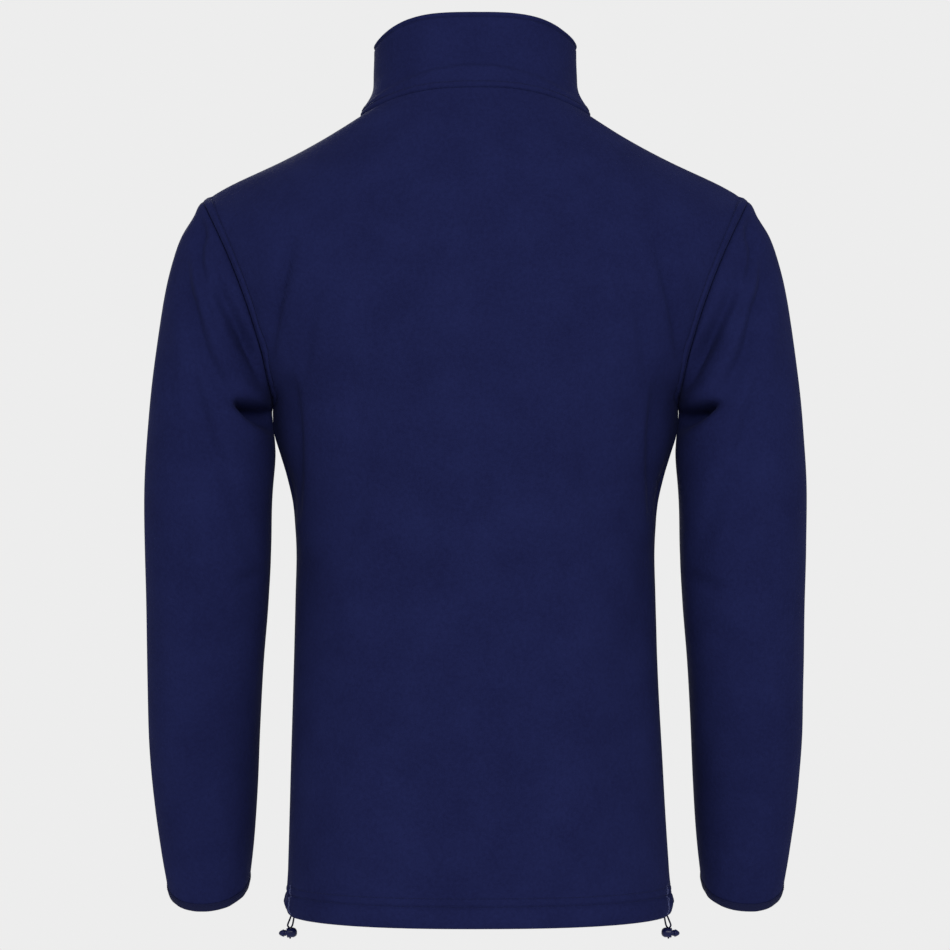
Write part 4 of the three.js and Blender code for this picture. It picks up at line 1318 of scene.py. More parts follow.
@dataclass
class Body:
    """The back and the two fronts."""

    finishes: Finishes
    stitching: Stitching

    back_folds: tuple[Fold, ...] = (
        Fold(((149, -106), (157, -138), (165, -168), (171, -206)), 3.2, -6.2, far=9),
        Fold(((166, -128), (174, -158), (179, -190)), 6, 2.0),
        Fold(((152, -222), (149, -272), (150, -338)), 4.0, -6.0, far=16),
        Fold(((132, -154), (138, -190), (142, -222)), 4.5, -2.8),
        Fold(((104, -206), (98, -250), (101, -300)), 4.5, -1.6, far=8),
        Fold(((82, -218), (91, -304), (112, -380)), 8, -2.4, far=14),
        Fold(((52, -96), (60, -190)), 17, -1.0),
        Fold(((128, -420), (120, -520), (126, -610)), 18, -1.8),
        Fold(((60, -470), (52, -560)), 22, 1.0),
        Fold(((150, -350), (136, -430)), 10, -1.8),
    )
    front_folds: tuple[Fold, ...] = (
        Fold(((162, -118), (160, -160), (151, -214)), 6, -6.0, far=12),
        Fold(((177, -150), (173, -190)), 6, 2.2),
        Fold(((128, -240), (135, -300), (132, -356)), 7, -4.8, far=15),
        Fold(((66, -126), (74, -180), (70, -240)), 12, -2.6, far=20),
        Fold(((40, -330), (46, -420), (38, -500)), 12, -2.2, far=20),
        Fold(((104, -420), (98, -540), (106, -635)), 12, -3.0, far=20),
        Fold(((148, -368), (134, -392), (112, -410)), 7, -3.0, far=11),
        Fold(((28, -88), (22, -150)), 8, 1.6),
        Fold(((120, -110), (112, -170)), 7, -1.8, far=12),
    )

    def panels(self) -> dict[str, list[BodyPanel]]:
        """The half panels of each piece, in order from the wearer's right."""
        back_right = BodyPanel(Face.BACK, Hand.RIGHT, varied(self.back_folds, 11, 3), 46, 31)
        back_left = BodyPanel(Face.BACK, Hand.LEFT, self.back_folds, 46, 32)
        return {
            "back": [back_right, back_left],
            "front_right": [BodyPanel(Face.FRONT, Hand.RIGHT, varied(self.front_folds, 12), 40, 33)],
            "front_left": [BodyPanel(Face.FRONT, Hand.LEFT, self.front_folds, 40, 34)],
        }

    def build(self) -> None:
        """Makes the panels and sews their topstitches."""
        for name, halves in self.panels().items():
            parts = [half.spots() for half in halves]
            if len(parts) == 2:
                outside, normals, full = (np.concatenate([a[:, :0:-1], b], axis=1) for a, b in zip(*parts))
            else:
                outside, normals, full = parts[0]
            shell = Shell(outside, normals, full)
            cloth = shell.build(f"{name}_cloth", self.finishes.fleece)
            attach(cloth, "root", "fleece", name)
            SHEETS[name].declare(cloth, shell)
            lines = [line for half in halves for line in half.stitch_lines()]
            self.stitching.sew(f"stitches_{name}", lines)
            tacks = [line for half in halves for line in half.tack_lines()]
            # The bar tacks take the lighter thread, which is a painted highlight.
            self.stitching.sew(f"tacks_{name}", tacks, self.finishes.tack)


# ---- The sleeves and their cuffs -----------------------------------------------------------------


@dataclass
class Sleeve:
    """One sleeve and the binding of its cuff."""

    hand: Hand
    finishes: Finishes
    stitching: Stitching
    sides: int = 112
    binding: float = 5.6  # how far the binding reaches up the sleeve
    binding_cloth: float = 0.9
    binding_gap: float = 0.1
    squeezed: float = 0.5  # share of the cloth's thickness under the binding

    back_folds: tuple[Fold, ...] = (
        Fold(((228, -84), (229, -100), (232, -112), (231, -126), (224, -150)), 4.0, -6.4, far=7),
        Fold(
            ((246, -112), (244, -143), (238, -162), (231, -182), (223, -204), (213, -222), (203, -244)),
            6, -10.5, far=15,
        ),
        Fold(((229, -150), (222, -168), (212, -182)), 4.5, -4.2, far=7),
        Fold(((219, -134), (211, -153), (203, -169), (195, -183)), 5, -6.4, far=8),
        Fold(((200, -172), (190, -189), (180, -205), (172, -224)), 5.5, -12, far=9),
        Fold(((243, -200), (235, -230), (228, -252), (220, -279), (202, -304)), 7.5, -8.0, far=15),
        Fold(((199, -242), (186, -247), (170, -253), (146, -258)), 3.8, -22, far=5),
        Fold(((192, -250), (180, -256), (166, -264), (146, -270)), 5, -15),
        Fold(((200, -224), (188, -233), (174, -238)), 6, 3.4),
        Fold(((201, -256), (190, -266), (176, -276)), 7, 2.6),
        Fold(((262, -160), (258, -210), (252, -260)), 9, -2.6),
        Fold(((208, -290), (196, -340), (180, -388)), 9, -2.4),
        Fold(((176, -384), (190, -391), (205, -396)), 6, -3.2),
        Fold(((252, -300), (246, -350), (250, -400)), 12, -2.2),
        Fold(((190, -430), (214, -447)), 11, -1.8),
        Fold(((236, -470), (228, -560), (234, -620)), 16, -1.8),
    )
    front_folds: tuple[Fold, ...] = (
        Fold(((229, -88), (225, -130), (212, -184)), 6, -6.4, far=10),
        Fold(((248, -140), (234, -205), (204, -254)), 8, -8.0, far=14),
        Fold(((206, -206), (194, -226), (180, -246)), 7, -9.0),
        Fold(((200, -258), (184, -268), (160, -276)), 6, -9.0),
        Fold(((178, -370), (204, -377), (232, -396)), 7, -6.0, far=10),
        Fold(((182, -402), (204, -411), (228, -428)), 7, -4.6, far=10),
        Fold(((264, -348), (240, -380)), 9, -3.2),
        Fold(((196, -448), (214, -470)), 11, -2.0),
        Fold(((240, -500), (232, -580)), 13, -1.6),
    )

    def places(self) -> Array:
        """Where the rings of cloth are, closest at the armhole and the cuff."""
        start = np.array([0, 0.025, 0.06, 0.11, 0.18, 0.27, 0.38, 0.52, 0.68, 0.86])
        end = LAST_RING - np.array([0.5, 0.38, 0.28, 0.2, 0.13, 0.08, 0.045, 0.02, 0])
        return np.concatenate([start, np.linspace(start[-1], end[0], 176)[1:-1], end])

    def build(self) -> None:
        """Makes the sleeve, its cuff's binding and its stitches."""
        degrees = np.linspace(0, 360, self.sides, endpoint=False)[None]
        places = self.places()[:, None]
        grid = sleeve_points(places, degrees)
        normals = grid_normals(grid, around=True)
        down = arc_lengths(grid.swapaxes(0, 1)).swapaxes(0, 1)
        from_cuff = down[-1:] - down
        back = np.sin(np.radians(degrees)) > 0
        left = self.hand is Hand.LEFT
        back_folds = self.back_folds if left else varied(self.back_folds, 21, 3)
        front_folds = self.front_folds if left else varied(self.front_folds, 22)
        x, z = grid[..., 0], grid[..., 2]
        folds = np.where(back, fold_heights(back_folds, x, z), fold_heights(front_folds, x, z))
        edge_on = np.minimum(1, 2.4 * np.abs(np.sin(np.radians(degrees))))
        height = folds * edge_on * step(0, 14, down)
        around = np.radians(degrees) * 46
        height += 0.5 * undulation(around, down, 70, 41 + self.hand.value) * step(0, 20, down) * edge_on
        height += seam_dip(down) + 0.9 * bump(down - 6, 5)
        inner = bump((degrees - 180) / 42, 1.0)
        height += 2.5 * inner * bump(z + 281, 25) * step(0, 10, down)
        height += 0.35 * undulation(around, 0.3 * down, 15, 44) * (1 - step(8, 34, from_cuff))
        outside = grid + normals * height[..., None]
        mirror = np.array([self.hand.value, 1, 1])
        full = edge_fullness(np.minimum(down + 0.05, from_cuff + 0.05))
        full = np.minimum(full, mix(self.squeezed, 1.0, step(3.5, 9, from_cuff)))
        shell = Shell(outside * mirror, normals * mirror, full)
        name = f"sleeve_{self.hand.word}"
        cloth = shell.build(f"{name}_cloth", self.finishes.fleece, around=True)
        attach(cloth, "root", "fleece", name)
        SHEETS["sleeve"].declare(cloth, shell)
        self.bind(outside[-1], normals[-1], unit(outside[-1] - outside[-5]), mirror)

    def bind(self, ring: Array, normals: Array, down: Array, mirror: Array) -> None:
        """Folds the binding over the end of the sleeve.

        Args:
            ring: points of the sleeve's last ring.
            normals: its normals.
            down: the way that the cloth leaves it.
            mirror: sign of each coordinate on this side.
        """
        inner = self.squeezed * CLOTH / 2 + self.binding_gap
        outer = inner + self.binding_cloth
        arc = np.radians(np.linspace(0, 180, 11))
        high = np.linspace(-self.binding, 0, 9)
        lip = [(mix(inner, outer, 0.5), -self.binding - 0.4)]
        over = [(outer + 0.18 * math.sin(math.pi * i / 8), d) for i, d in enumerate(high)]
        over += [(outer * math.cos(a), outer * math.sin(a)) for a in arc[1:]]
        over += [(-outer, d) for d in high[::-1][1:]]
        under = [(-mix(inner, outer, 0.5), -self.binding - 0.4)]
        under += [(-inner, d) for d in high]
        under += [(-inner * math.cos(a), inner * math.sin(a)) for a in arc[1:]]
        under += [(inner, d) for d in high[::-1][1:]]
        profile = np.array(lip + over + under)
        middle = ring - normals * (CLOTH / 2)
        ripple = 1 + 0.03 * undulation(np.arange(len(ring)) * 2.2, 0.0, 9, 51)
        grid = (
            middle[None] + profile[:, :1, None] * normals[None] * ripple[None, :, None]
            + profile[:, 1:, None] * down[None]
        )
        points = (grid * mirror).reshape(-1, 3)
        faces = face_out(points, grid_faces(len(profile), self.sides, True, True))
        name = f"cuff_{self.hand.word}"
        made = mesh_object(f"{name}_binding", points, faces.tolist(), self.finishes.binding)
        attach(made, "root", "binding", name)
        SHEETS["cuff"].declare(made)
        row = middle + normals * (outer + 0.2) - down * (self.binding - 1.6)
        self.stitching.sew(f"stitches_{name}", [np.concatenate([row, row[:1]]) * mirror])


# ---- The collar ----------------------------------------------------------------------------------


@dataclass
class Collar:
    """The standing collar: one band of two layers, from one side of the zip round to the other."""

    finishes: Finishes
    stitching: Stitching
    back: tuple[float, float] = (50, 84)  # y and z of the top edge at the centre back
    side: tuple[float, float, float] = (86.5, -20, 64)
    front: tuple[float, float] = (-93, 13)
    crown: float = 2.6
    turn: float = 2.1
    drop: float = 3.6  # how late the top edge falls towards the sides
    flare: float = 3.4  # how fast it narrows above the neck seam
    stitch: float = 4.2  # from the top edge to its stitches
    neck_stitch: float = 6.3  # from the neck seam to its stitches
    quarter: int = 62

    def top_rows(self, face: Face) -> Rows:
        """The top edge of one quarter, as a single row."""
        y, z = self.back if face is Face.BACK else self.front
        return Rows.between(
            np.array([[0.0, y, z]]), np.array([self.side], float),
            np.array([self.crown]), np.array([self.turn]), self.drop,
        )

    def quarter_grid(self, face: Face, heights: Array) -> Array:
        """The outside of a left quarter, from the centre line to the side."""
        bottom, top = body_rows(np.array([0.0]), face, Hand.LEFT), self.top_rows(face)
        start = np.array([0.0])
        if face is Face.FRONT:
            start = (FRONT_EDGE + ZIP_STEPS) / bottom.lengths[0, -1]
        shares = np.concatenate([start, np.linspace(start[-1], 1, self.quarter)[1:]])[None]
        low, high = bottom.at(shares)[0][None], top.at(shares)[0][None]
        h = heights[:, None, None]
        narrow = 1 - (1 - h) ** self.flare
        grid = mix(low, high, narrow)
        grid[..., 2] = mix(low[..., 2], high[..., 2], h[..., 0])
        return grid

    def relief(self, grid: Array, from_bottom: Array, from_top: Array, from_zip: Array) -> Array:
        """Heights of the collar's creases, seams and stitched edges."""
        angle = np.arctan2(grid[..., 0], grid[..., 1])  # 0 at the centre back
        height = 0.7 * seam_dip(from_bottom) + felled(from_bottom, self.neck_stitch, rise=0.9, groove=0.35)
        behind = bump(angle, 1.35)
        crease = from_bottom - (20 + 5 * np.cos(2 * angle))
        height -= 2.6 * behind * np.exp(-(np.where(crease > 0, crease / 10, crease / 2.6) ** 2))
        height += 1.2 * behind * bump(crease + 6, 4)
        height -= mix(0.55, 1.0, np.clip(np.abs(angle), 0, 1.2) / 1.2) * bump(from_top - self.stitch, 0.95)
        height += 0.35 * step(0.5, 1.6, from_top) * (1 - step(self.stitch - 1, self.stitch, from_top))
        height += 0.8 * undulation(angle * 80, from_bottom, 62, 61) * step(2, 14, from_bottom)
        height += 0.3 * undulation(angle * 80, 0.2 * from_top, 13, 62) * (1 - step(5, 12, from_top))
        sides = bump(np.abs(angle) - 1.75, 0.5)
        height -= 0.8 * sides * bump(from_bottom - 34, 9)
        height += 3.0 * sides * bump(from_bottom - 13, 10)
        height += felled(from_zip, 6.0, rise=0.2, groove=0.5) * step(0.5, 4, from_top)
        return height

    def build(self) -> None:
        """Makes the collar and its stitches."""
        fine = np.array([
            0, 0.004, 0.009, 0.016, 0.026, 0.04, 0.055, 0.066, 0.074, 0.081, 0.088, 0.096, 0.106, 0.12,
        ])
        top = np.array([0.89, 0.905, 0.92, 0.93, 0.94, 0.95, 0.96, 0.972])
        heights = np.concatenate([fine, np.linspace(fine[-1], top[0], 30)[1:-1], top])
        front, back = self.quarter_grid(Face.FRONT, heights), self.quarter_grid(Face.BACK, heights)
        left = np.concatenate([front, back[:, ::-1][:, 1:]], axis=1)
        mirror = np.array([-1, 1, 1])
        grid = np.concatenate([left, (left * mirror)[:, ::-1][:, 1:]], axis=1)
        normals = grid_normals(grid)
        outward = np.sign((normals * unit(grid * np.array([1, 1, 0]))).sum())
        normals *= outward
        from_bottom = arc_lengths(grid.swapaxes(0, 1)).swapaxes(0, 1)
        radius = COLLAR_CLOTH / 2
        from_top = from_bottom[-1:] + radius - from_bottom
        along = arc_lengths(grid)
        from_zip = np.minimum(along, along[:, -1:] - along)
        height = self.relief(grid, from_bottom, from_top, from_zip)
        outside = grid + normals * height[..., None]
        middle = outside - normals * radius
        up = unit(grid[-1] - grid[-3])
        full = edge_fullness(from_zip, radius)[..., None]
        half = normals * radius * full * edge_fullness(from_bottom, radius)[..., None]
        layers = [middle + half]
        for degrees in (22.5, 45, 67.5, 90, 112.5, 135, 157.5):
            a = math.radians(degrees)
            turn = normals[-1] * math.cos(a) + up * math.sin(a)
            layers.append((middle[-1] + radius * full[-1] * turn)[None])
        layers.append((middle - half)[::-1])
        whole = np.concatenate(layers)
        rows, columns = whole.shape[:2]
        points = whole.reshape(-1, 3)
        faces = list(grid_faces(rows, columns, True, False))
        for column, turn in ((0, 1), (columns - 1, -1)):
            near = np.arange(rows // 2) * columns + column
            far = (rows - 1 - np.arange(rows // 2)) * columns + column
            for i in range(rows // 2 - 1):
                faces.append(np.array((near[i], far[i], far[i + 1], near[i + 1])[::turn]))
        faces = face_out(points, np.array(faces)).tolist()
        made = mesh_object("collar_cloth", points, faces, self.finishes.fleece)
        merge_doubles(made)
        attach(made, "root", "fleece", "collar")
        SHEETS["collar"].declare(made)
        seams = ((from_top, self.stitch), (from_bottom, self.neck_stitch))
        rows = [int(np.argmin(np.abs(field[:, columns // 2] - place))) for field, place in seams]
        self.stitching.sew("stitches_collar", [outside[row] + 0.1 * normals[row] for row in rows])


# ---- The zip -------------------------------------------------------------------------------------


def centre_front(grid_step: float = 4.0) -> Array:
    """Points (0, y, z) of the centre front line, from the hem to the top of the collar."""
    z = np.arange(HEM_Z + 4.4, NECK_FRONT[1], grid_step)
    body = points_of(0.0, CENTRE_LINES[Face.FRONT].read("y", z), z)
    h = np.linspace(0, 1, 24)
    collar = points_of(0.0, mix(NECK_FRONT[0], -93.0, 1 - (1 - h) ** 3.4), mix(NECK_FRONT[1], 13.0, h))
    return np.concatenate([body, collar])


@dataclass
class Zip:
    """The zip: moulded teeth on woven tapes, with a slider, a pull tab and a box at its foot."""

    finishes: Finishes
    teeth: Repeater
    pitch: float = 2.7
    tooth: tuple[float, float, float] = (3.5, 2.5, 1.3)  # across, deep and along the zip
    aside: float = 1.25  # from the centre line to the middle of a tooth
    depth: float = 1.3  # of the face of the teeth behind the fronts
    edge: tuple[float, float] = (0.25, 3.5)  # sides of the tape's edge behind the teeth
    edge_depth: tuple[float, float] = (3.45, 4.15)

    def build(self) -> None:
        """Makes the teeth, the box, the slider and the tab, and finishes the tapes."""
        for hand in Hand:
            self.tooth_row(hand)
            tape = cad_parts[f"zip_tape_{hand.word}"]
            tape.data.materials.clear()
            tape.data.materials.append(self.finishes.tape)
        self.box()
        self.slider()
        self.pull_tab()

    def tooth_row(self, hand: Hand) -> None:
        """Sets one row of teeth along the middle of its solid."""
        name = f"zip_teeth_{hand.word}"
        low, high = (np.array(corner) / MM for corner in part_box(name))
        line = centre_front()
        way = unit(np.gradient(line, axis=0))
        out = np.stack([0 * way[:, 0], -way[:, 2], way[:, 1]], axis=-1)
        back = np.interp(line[:, 2], [NECK_FRONT[1] - 38, NECK_FRONT[1], NECK_FRONT[1] + 12], [0, 2.4, 2.8])
        keep = (line[:, 2] > low[2] + 0.8) & (line[:, 2] < high[2] - 0.6)
        front, out = (line - out * back[:, None])[keep], out[keep]
        self.tape_edge(hand, front, out)
        line = smooth_line(front - out * (self.depth + self.tooth[1] / 2), 400)
        line[:, 0] = hand.value * self.aside
        shift = self.pitch / 2 if hand is Hand.RIGHT else 0.0
        lengths = arc_lengths(line)
        start = np.interp(shift, lengths, np.arange(len(line)))
        made = self.teeth.run(name + "_moulded", [line[int(math.ceil(start)):]], {
            "Pitch": self.pitch * MM, "Width": self.tooth[0] * MM, "Depth": self.tooth[1] * MM,
            "Height": self.tooth[2] * MM, "Lean": -hand.value * self.tooth[0] * MM, "Seed": 1,
            "Material": self.finishes.teeth,
        })
        attach(made, "root", "zip_teeth", name)

    def tape_edge(self, hand: Hand, front: Array, out: Array) -> None:
        """The edge of the tape that the teeth are moulded on.

        Args:
            hand: which tape.
            front: points along the line of the fronts.
            out: the way out of the jacket at each.
        """
        near, far = self.edge_depth
        corners = zip((*self.edge, *self.edge[::-1]), (near, near, far, far))
        rings = [front - out * depth + np.array([hand.value * side, 0, 0]) for side, depth in corners]
        points = np.stack(rings, axis=1).reshape(-1, 3)
        faces = grid_faces(len(front), 4, False, True)
        caps = np.array([[0, 1, 2, 3], [len(points) - 1 - i for i in range(4)]])
        whole = np.concatenate([faces, caps])
        name = f"zip_edge_{hand.word}"
        made = mesh_object(name, points, whole.tolist(), self.finishes.tape)
        merge_doubles(made)
        attach(made, "root", "zip_tape")

    def box(self) -> None:
        """The box at the foot of the zip."""
        low, high = (np.array(corner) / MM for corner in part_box("zip_box"))
        middle = (low[2] + high[2]) / 2
        place, teeth = np.eye(4), self.finishes.teeth
        body = rounded_box(low, (high[0], high[1], middle + 1.5), 0.7, place, teeth)
        inset = np.array([0.9, 0.5, 0])
        stem = rounded_box((*(low + inset)[:2], middle), high - inset, 0.5, place, teeth)
        attach(welded([body, stem], "zip_box_moulded"), "root", "zip_teeth", "zip_box")

    def slider(self) -> None:
        """The slider: two waisted plates, a post between them and a bridge over the tab."""
        low, high = (np.array(corner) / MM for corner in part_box("zip_slider"))
        reach = 4.9  # of the bridge in front of the teeth
        place = np.eye(4)
        place[:3, 3] = (0, low[1] + reach, (low[2] + high[2]) / 2)
        half, rise = (high[0] - low[0]) / 2, (high[2] - low[2]) / 2
        metal = self.finishes.metal
        parts = []
        for front, back in ((-1.5, -0.4), (3.5, 4.6)):
            parts.append(rounded_box((-half, front, -0.3 * rise), (half, back, rise), 0.5, place, metal))
            waist = 0.78 * half
            parts.append(rounded_box((-waist, front, -rise), (waist, back, 0.2 * rise), 0.5, place, metal))
        parts.append(rounded_box((-1, -0.9, rise - 2.2), (1, 4.0, rise), 0.4, place, metal))
        for bottom in (-3.7, 2.6):
            parts.append(rounded_box((-1, -4.9, bottom), (1, -1.0, bottom + 1.1), 0.4, place, metal))
        parts.append(rounded_box((-1, -4.9, -3.7), (1, -3.8, 3.7), 0.45, place, metal))
        attach(welded(parts, "zip_slider_cast"), "root", "zip_metal", "zip_slider")

    def pull_tab(self) -> None:
        """The pull tab: a pin, two rails and a plate with raised grips, hanging from the bridge."""
        low, high = (np.array(corner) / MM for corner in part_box("pull_tab"))
        place = np.eye(4)
        place[:3, 3] = ((low[0] + high[0]) / 2, (low[1] + high[1]) / 2, high[2] - 0.65)
        half, thick = (high[0] - low[0]) / 2, (high[1] - low[1]) / 2
        foot = low[2] - place[2, 3]
        metal = self.finishes.metal
        parts = [
            rounded_box((-half, -thick, -0.65), (half, thick, 0.65), 0.5, place, metal),
            rounded_box((-half, -thick, -7), (1.6 - half, thick, 0.3), 0.45, place, metal),
            rounded_box((half - 1.6, -thick, -7), (half, thick, 0.3), 0.45, place, metal),
            rounded_box((-half, -0.42, foot), (half, 0.42, -6.05), 0.4, place, metal),
            rounded_box((-half, -thick, -7.6), (half, thick, -6.05), 0.45, place, metal),
            rounded_box((-half, -thick, foot), (half, thick, foot + 1.6), 0.45, place, metal),
        ]
        grip = half - 1.3
        for bottom in np.arange(-foot, 8.5, -3.1)[1:]:
            low, high = (-grip, -thick, -bottom), (grip, thick, 1.2 - bottom)
            parts.append(rounded_box(low, high, 0.35, place, metal))
        for x in (-half, half - 0.9):
            parts.append(rounded_box((x, -thick, foot + 0.3), (x + 0.9, thick, -6.5), 0.35, place, metal))
        attach(welded(parts, "pull_tab_cast"), "pull_tab", "zip_metal", "pull_tab")


# ---- The drawcord and its locks ------------------------------------------------------------------


@dataclass
class Drawcord:
    """The free loop of elastic at one end of the hem, with the lock that runs on it."""

    hand: Hand
    finishes: Finishes
    diameter: float = 1.5
    beside: float = 0.95
    splay: float = 2.0
    exit_x: float = 155.0
    inside: float = 6.6  # how far each run goes on up into the hem, which is cut up at its outlet
    apart: float = 0.9
    x: float = 157.6
    z: float = -692.5
    radius: float = 4.3
    shank: float = 2.75
    tilt: float = 4.0

    def mirror(self) -> tuple[float, float]:
        """The sign of X on this side, and the shift of the right-hand lock."""
        return float(self.hand.value), (-FLARE if self.hand is Hand.RIGHT else 0.0)

    def route(self) -> Array:
        """The middle line of the cord: out of the hem, through the lock, round and back."""
        y, top, foot = self.beside, HEM_Z - SEAM_GAP, self.z - self.radius + 0.6
        low = foot - 0.5 * self.diameter
        down = [
            (self.exit_x + self.apart - 0.3, y, top + self.inside),
            (self.exit_x + self.apart, y, top),
            (self.exit_x + self.apart + 1.6, y, top - 4.5),
            (self.x + self.splay, y, self.z + self.radius + 2.2),
            (self.x + 0.35 * self.splay, y, self.z + self.radius - 0.1),
            (self.x, y, self.z + self.shank + 0.2),
            (self.x, y, self.z),
            (self.x, y, foot),
            (self.x, 0.6 * y, low),
        ]
        up = [
            (self.x, -0.6 * y, low),
            (self.x, -y, foot),
            (self.x, -y, self.z),
            (self.x, -y, self.z + self.shank + 0.2),
            (self.x - 0.35 * self.splay, -y, self.z + self.radius - 0.1),
            (self.x - self.splay, -y, self.z + self.radius + 2.2),
            (self.exit_x - self.apart + 0.4, -y, top - 4.5),
            (self.exit_x - self.apart, -y, top),
            (self.exit_x - self.apart + 0.3, -y, top + self.inside),
        ]
        sign, shift = self.mirror()
        line = smooth_line(np.array(down + up), 150)
        line[:, 0] = sign * line[:, 0] + shift
        return line

    def build(self) -> None:
        """Makes the lock, its button and the cord."""
        sign, shift = self.mirror()
        a = math.radians(self.tilt)
        turn = np.array([[math.cos(a), 0, math.sin(a)], [0, 1, 0], [-math.sin(a), 0, math.cos(a)]])
        place = np.eye(4)
        place[:3, :3] = np.diag([sign, 1, 1]) @ turn
        place[:3, 3] = (sign * self.x + shift, 0, self.z)
        word = self.hand.word
        barrel, button = self.barrel(word, place), self.button(word, place)
        line = self.route()
        cord = self.tube(f"drawcord_{word}_braid", line)
        attach(cord, "root", "elastic_cord", f"drawcord_{word}")
        attach(barrel, "root", "lock_plastic", f"lock_{word}")
        attach(button, f"button_{word}", "lock_plastic", f"button_{word}")

    def barrel(self, word: str, place: Array) -> Object:
        """The barrel: a rounded body with its bore and the slot for the cord."""
        low, high, r = -5.95, 2.9, self.radius
        arc = np.radians(np.linspace(0, 90, 11))
        nose = [(low + 4.4 * (1 - math.sin(t)), r * math.cos(t) ** 0.75) for t in arc[::-1]]
        lip = [(high - 0.9 + 0.9 * math.sin(t), r - 0.9 * (1 - math.cos(t))) for t in arc]
        profile = np.array(nose + lip + [(high, 0.0)])
        made = turned(f"lock_{word}_moulded", profile, 40, place, self.finishes.plastic)
        bore = np.array([(low + 1, 0), (low + 1, 3.05), (high + 1, 3.05), (high + 1, 0)])
        cut(made, turned("bore", bore, 40, place, self.finishes.plastic))
        cut(made, rounded_box((-2, -2, -9), (2, 2, 9), 0.6, place, self.finishes.plastic))
        merge_doubles(made)
        return made

    def button(self, word: str, place: Array) -> Object:
        """The plunger: a shank with a slot for the cord and a tapered head that the thumb presses."""
        r, head = self.shank, 5.2
        arc = np.radians(np.linspace(0, 90, 9))
        neck = [
            (-2.15, 0.0), (-2.15, r - 0.3), (-1.85, r),
            (3.0, r), (3.3, r - 0.15), (head, r - 0.15), (head, r + 0.3),
        ]
        dome = [
            (head + 0.4 + 4.0 * math.sin(t), (r + 0.55) * math.cos(t) ** 0.7 * (1 - 0.4 * math.sin(t)))
            for t in arc
        ]
        made = turned(f"button_{word}_moulded", np.array(neck + dome), 40, place, self.finishes.plastic)
        cut(made, rounded_box((-1.05, -2, -6), (3.45, 2, 6), 0.4, place, self.finishes.plastic))
        merge_doubles(made)
        return made

    def tube(self, name: str, line: Array, sides: int = 14) -> Object:
        """A tube along a line, with a UV map that runs round and along it.

        Args:
            name: its name.
            line: its middle line.
            sides: how many sides.

        Returns:
            The tube, closed at both ends.
        """
        along = unit(np.gradient(line, axis=0))
        first = unit(np.cross(along, np.array([1.0, 0.0, 0.0])))
        second = np.cross(along, first)
        angles = np.linspace(0, 2 * math.pi, sides, endpoint=False)[None, :, None]
        ring = np.cos(angles) * first[:, None] + np.sin(angles) * second[:, None]
        points = (line[:, None] + self.diameter / 2 * ring).reshape(-1, 3)
        faces = grid_faces(len(line), sides, False, True)
        caps = [list(range(sides)), list(range(len(points) - sides, len(points)))[::-1]]
        made = mesh_object(name, points, faces.tolist() + caps, self.finishes.cord)
        lengths = arc_lengths(line) / self.diameter
        uv = made.data.uv_layers.new(name="UVMap")
        for face in made.data.polygons:
            for corner, vertex in zip(face.loop_indices, face.vertices):
                turn = (vertex % sides) / sides
                if face.index < len(faces) and face.index % sides == sides - 1 and vertex % sides == 0:
                    turn = 1.0
                uv.data[corner].uv = (turn, lengths[vertex // sides])
        merge_doubles(made)
        return made


# ---- The studio ----------------------------------------------------------------------------------


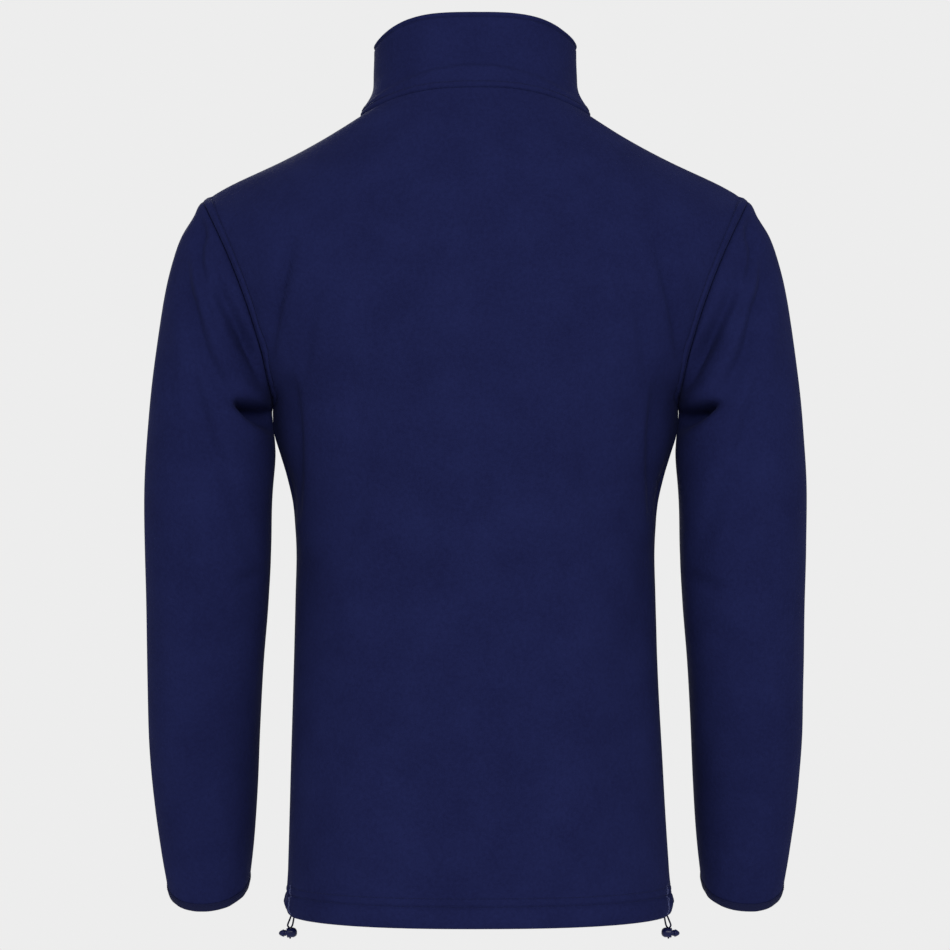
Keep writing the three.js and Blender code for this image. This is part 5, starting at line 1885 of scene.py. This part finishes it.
@dataclass
class Studio:
    """The camera, a plain pale floor far below, pale air all round and two large soft lamps."""

    distance: float = 3.0
    eye_z: float = -0.2924
    lens: float = 133.7
    air: tuple[float, float, float] = (0.847, 0.847, 0.847)
    floor_z: float = -1.6

    def build(self) -> None:
        """Makes the camera, the floor and the lights."""
        scene = bpy.context.scene
        scene.view_settings.view_transform = "Standard"
        data = bpy.data.cameras.new("camera")
        data.lens, data.sensor_width = self.lens, 36
        data.shift_y = -0.0137
        camera = bpy.data.objects.new("camera", data)
        camera.location = (0.0004, self.distance, self.eye_z)
        camera.rotation_euler = (math.pi / 2, 0, math.pi)
        scene.collection.objects.link(camera)
        scene.camera = camera
        world = bpy.data.worlds.new("air")
        world.use_nodes = True
        background = world.node_tree.nodes["Background"]
        background.inputs["Color"].default_value = (*self.air, 1)
        background.inputs["Strength"].default_value = 1.0
        scene.world = world
        self.lamp("key", (-0.25, 3.6, 1.1), 1.3, 88.0)
        self.lamp("fill", (0.9, -3.6, 1.1), 1.3, 80.0)
        self.floor()

    def lamp(self, name: str, place: tuple[float, float, float], size: float, power: float) -> None:
        """A square soft lamp aimed at the middle of the jacket."""
        data = bpy.data.lights.new(name, "AREA")
        data.shape, data.size, data.energy = "SQUARE", size, power
        lamp = bpy.data.objects.new(name, data)
        lamp.location = place
        aim = Vector((0, 0, -0.3)) - Vector(place)
        lamp.rotation_euler = aim.to_track_quat("-Z", "Y").to_euler()
        bpy.context.scene.collection.objects.link(lamp)

    def floor(self) -> None:
        """A round pale floor, below what the camera sees."""
        made, nodes, shader = surface("floor")
        place = nodes.add("ShaderNodeTexCoord").outputs["Object"]
        cloud = nodes.add("ShaderNodeTexNoise", {"Vector": place, "Scale": 3.0})
        tone = nodes.add("ShaderNodeMix", {
            "Factor": cloud.outputs["Fac"], 6: (0.80, 0.80, 0.80, 1), 7: (0.82, 0.82, 0.82, 1),
        }, data_type="RGBA")
        nodes.tree.links.new(tone.outputs[2], shader.inputs["Base Color"])
        shader.inputs["Roughness"].default_value = 0.9
        angles = np.linspace(0, 2 * math.pi, 96, endpoint=False)
        radius = 6.0 / MM
        ring = points_of(radius * np.cos(angles), radius * np.sin(angles), self.floor_z / MM)
        mesh_object("floor", ring, [list(range(96))], made)


# ---- The jacket ----------------------------------------------------------------------------------


def main() -> None:
    """Builds the studio, the drawcords, the cloth and the zip, in that order."""
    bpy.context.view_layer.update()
    Studio().build()
    finishes = Finishes.make()
    for hand in Hand:
        Drawcord(hand, finishes).build()
    stitching = Stitching(stitch_tree(), finishes.thread)
    Body(finishes, stitching).build()
    for hand in Hand:
        Sleeve(hand, finishes, stitching).build()
    Collar(finishes, stitching).build()
    Zip(finishes, tooth_tree()).build()


if __name__ == "__main__":
    logging.basicConfig(level=logging.INFO, format="%(name)s: %(message)s")
    main()
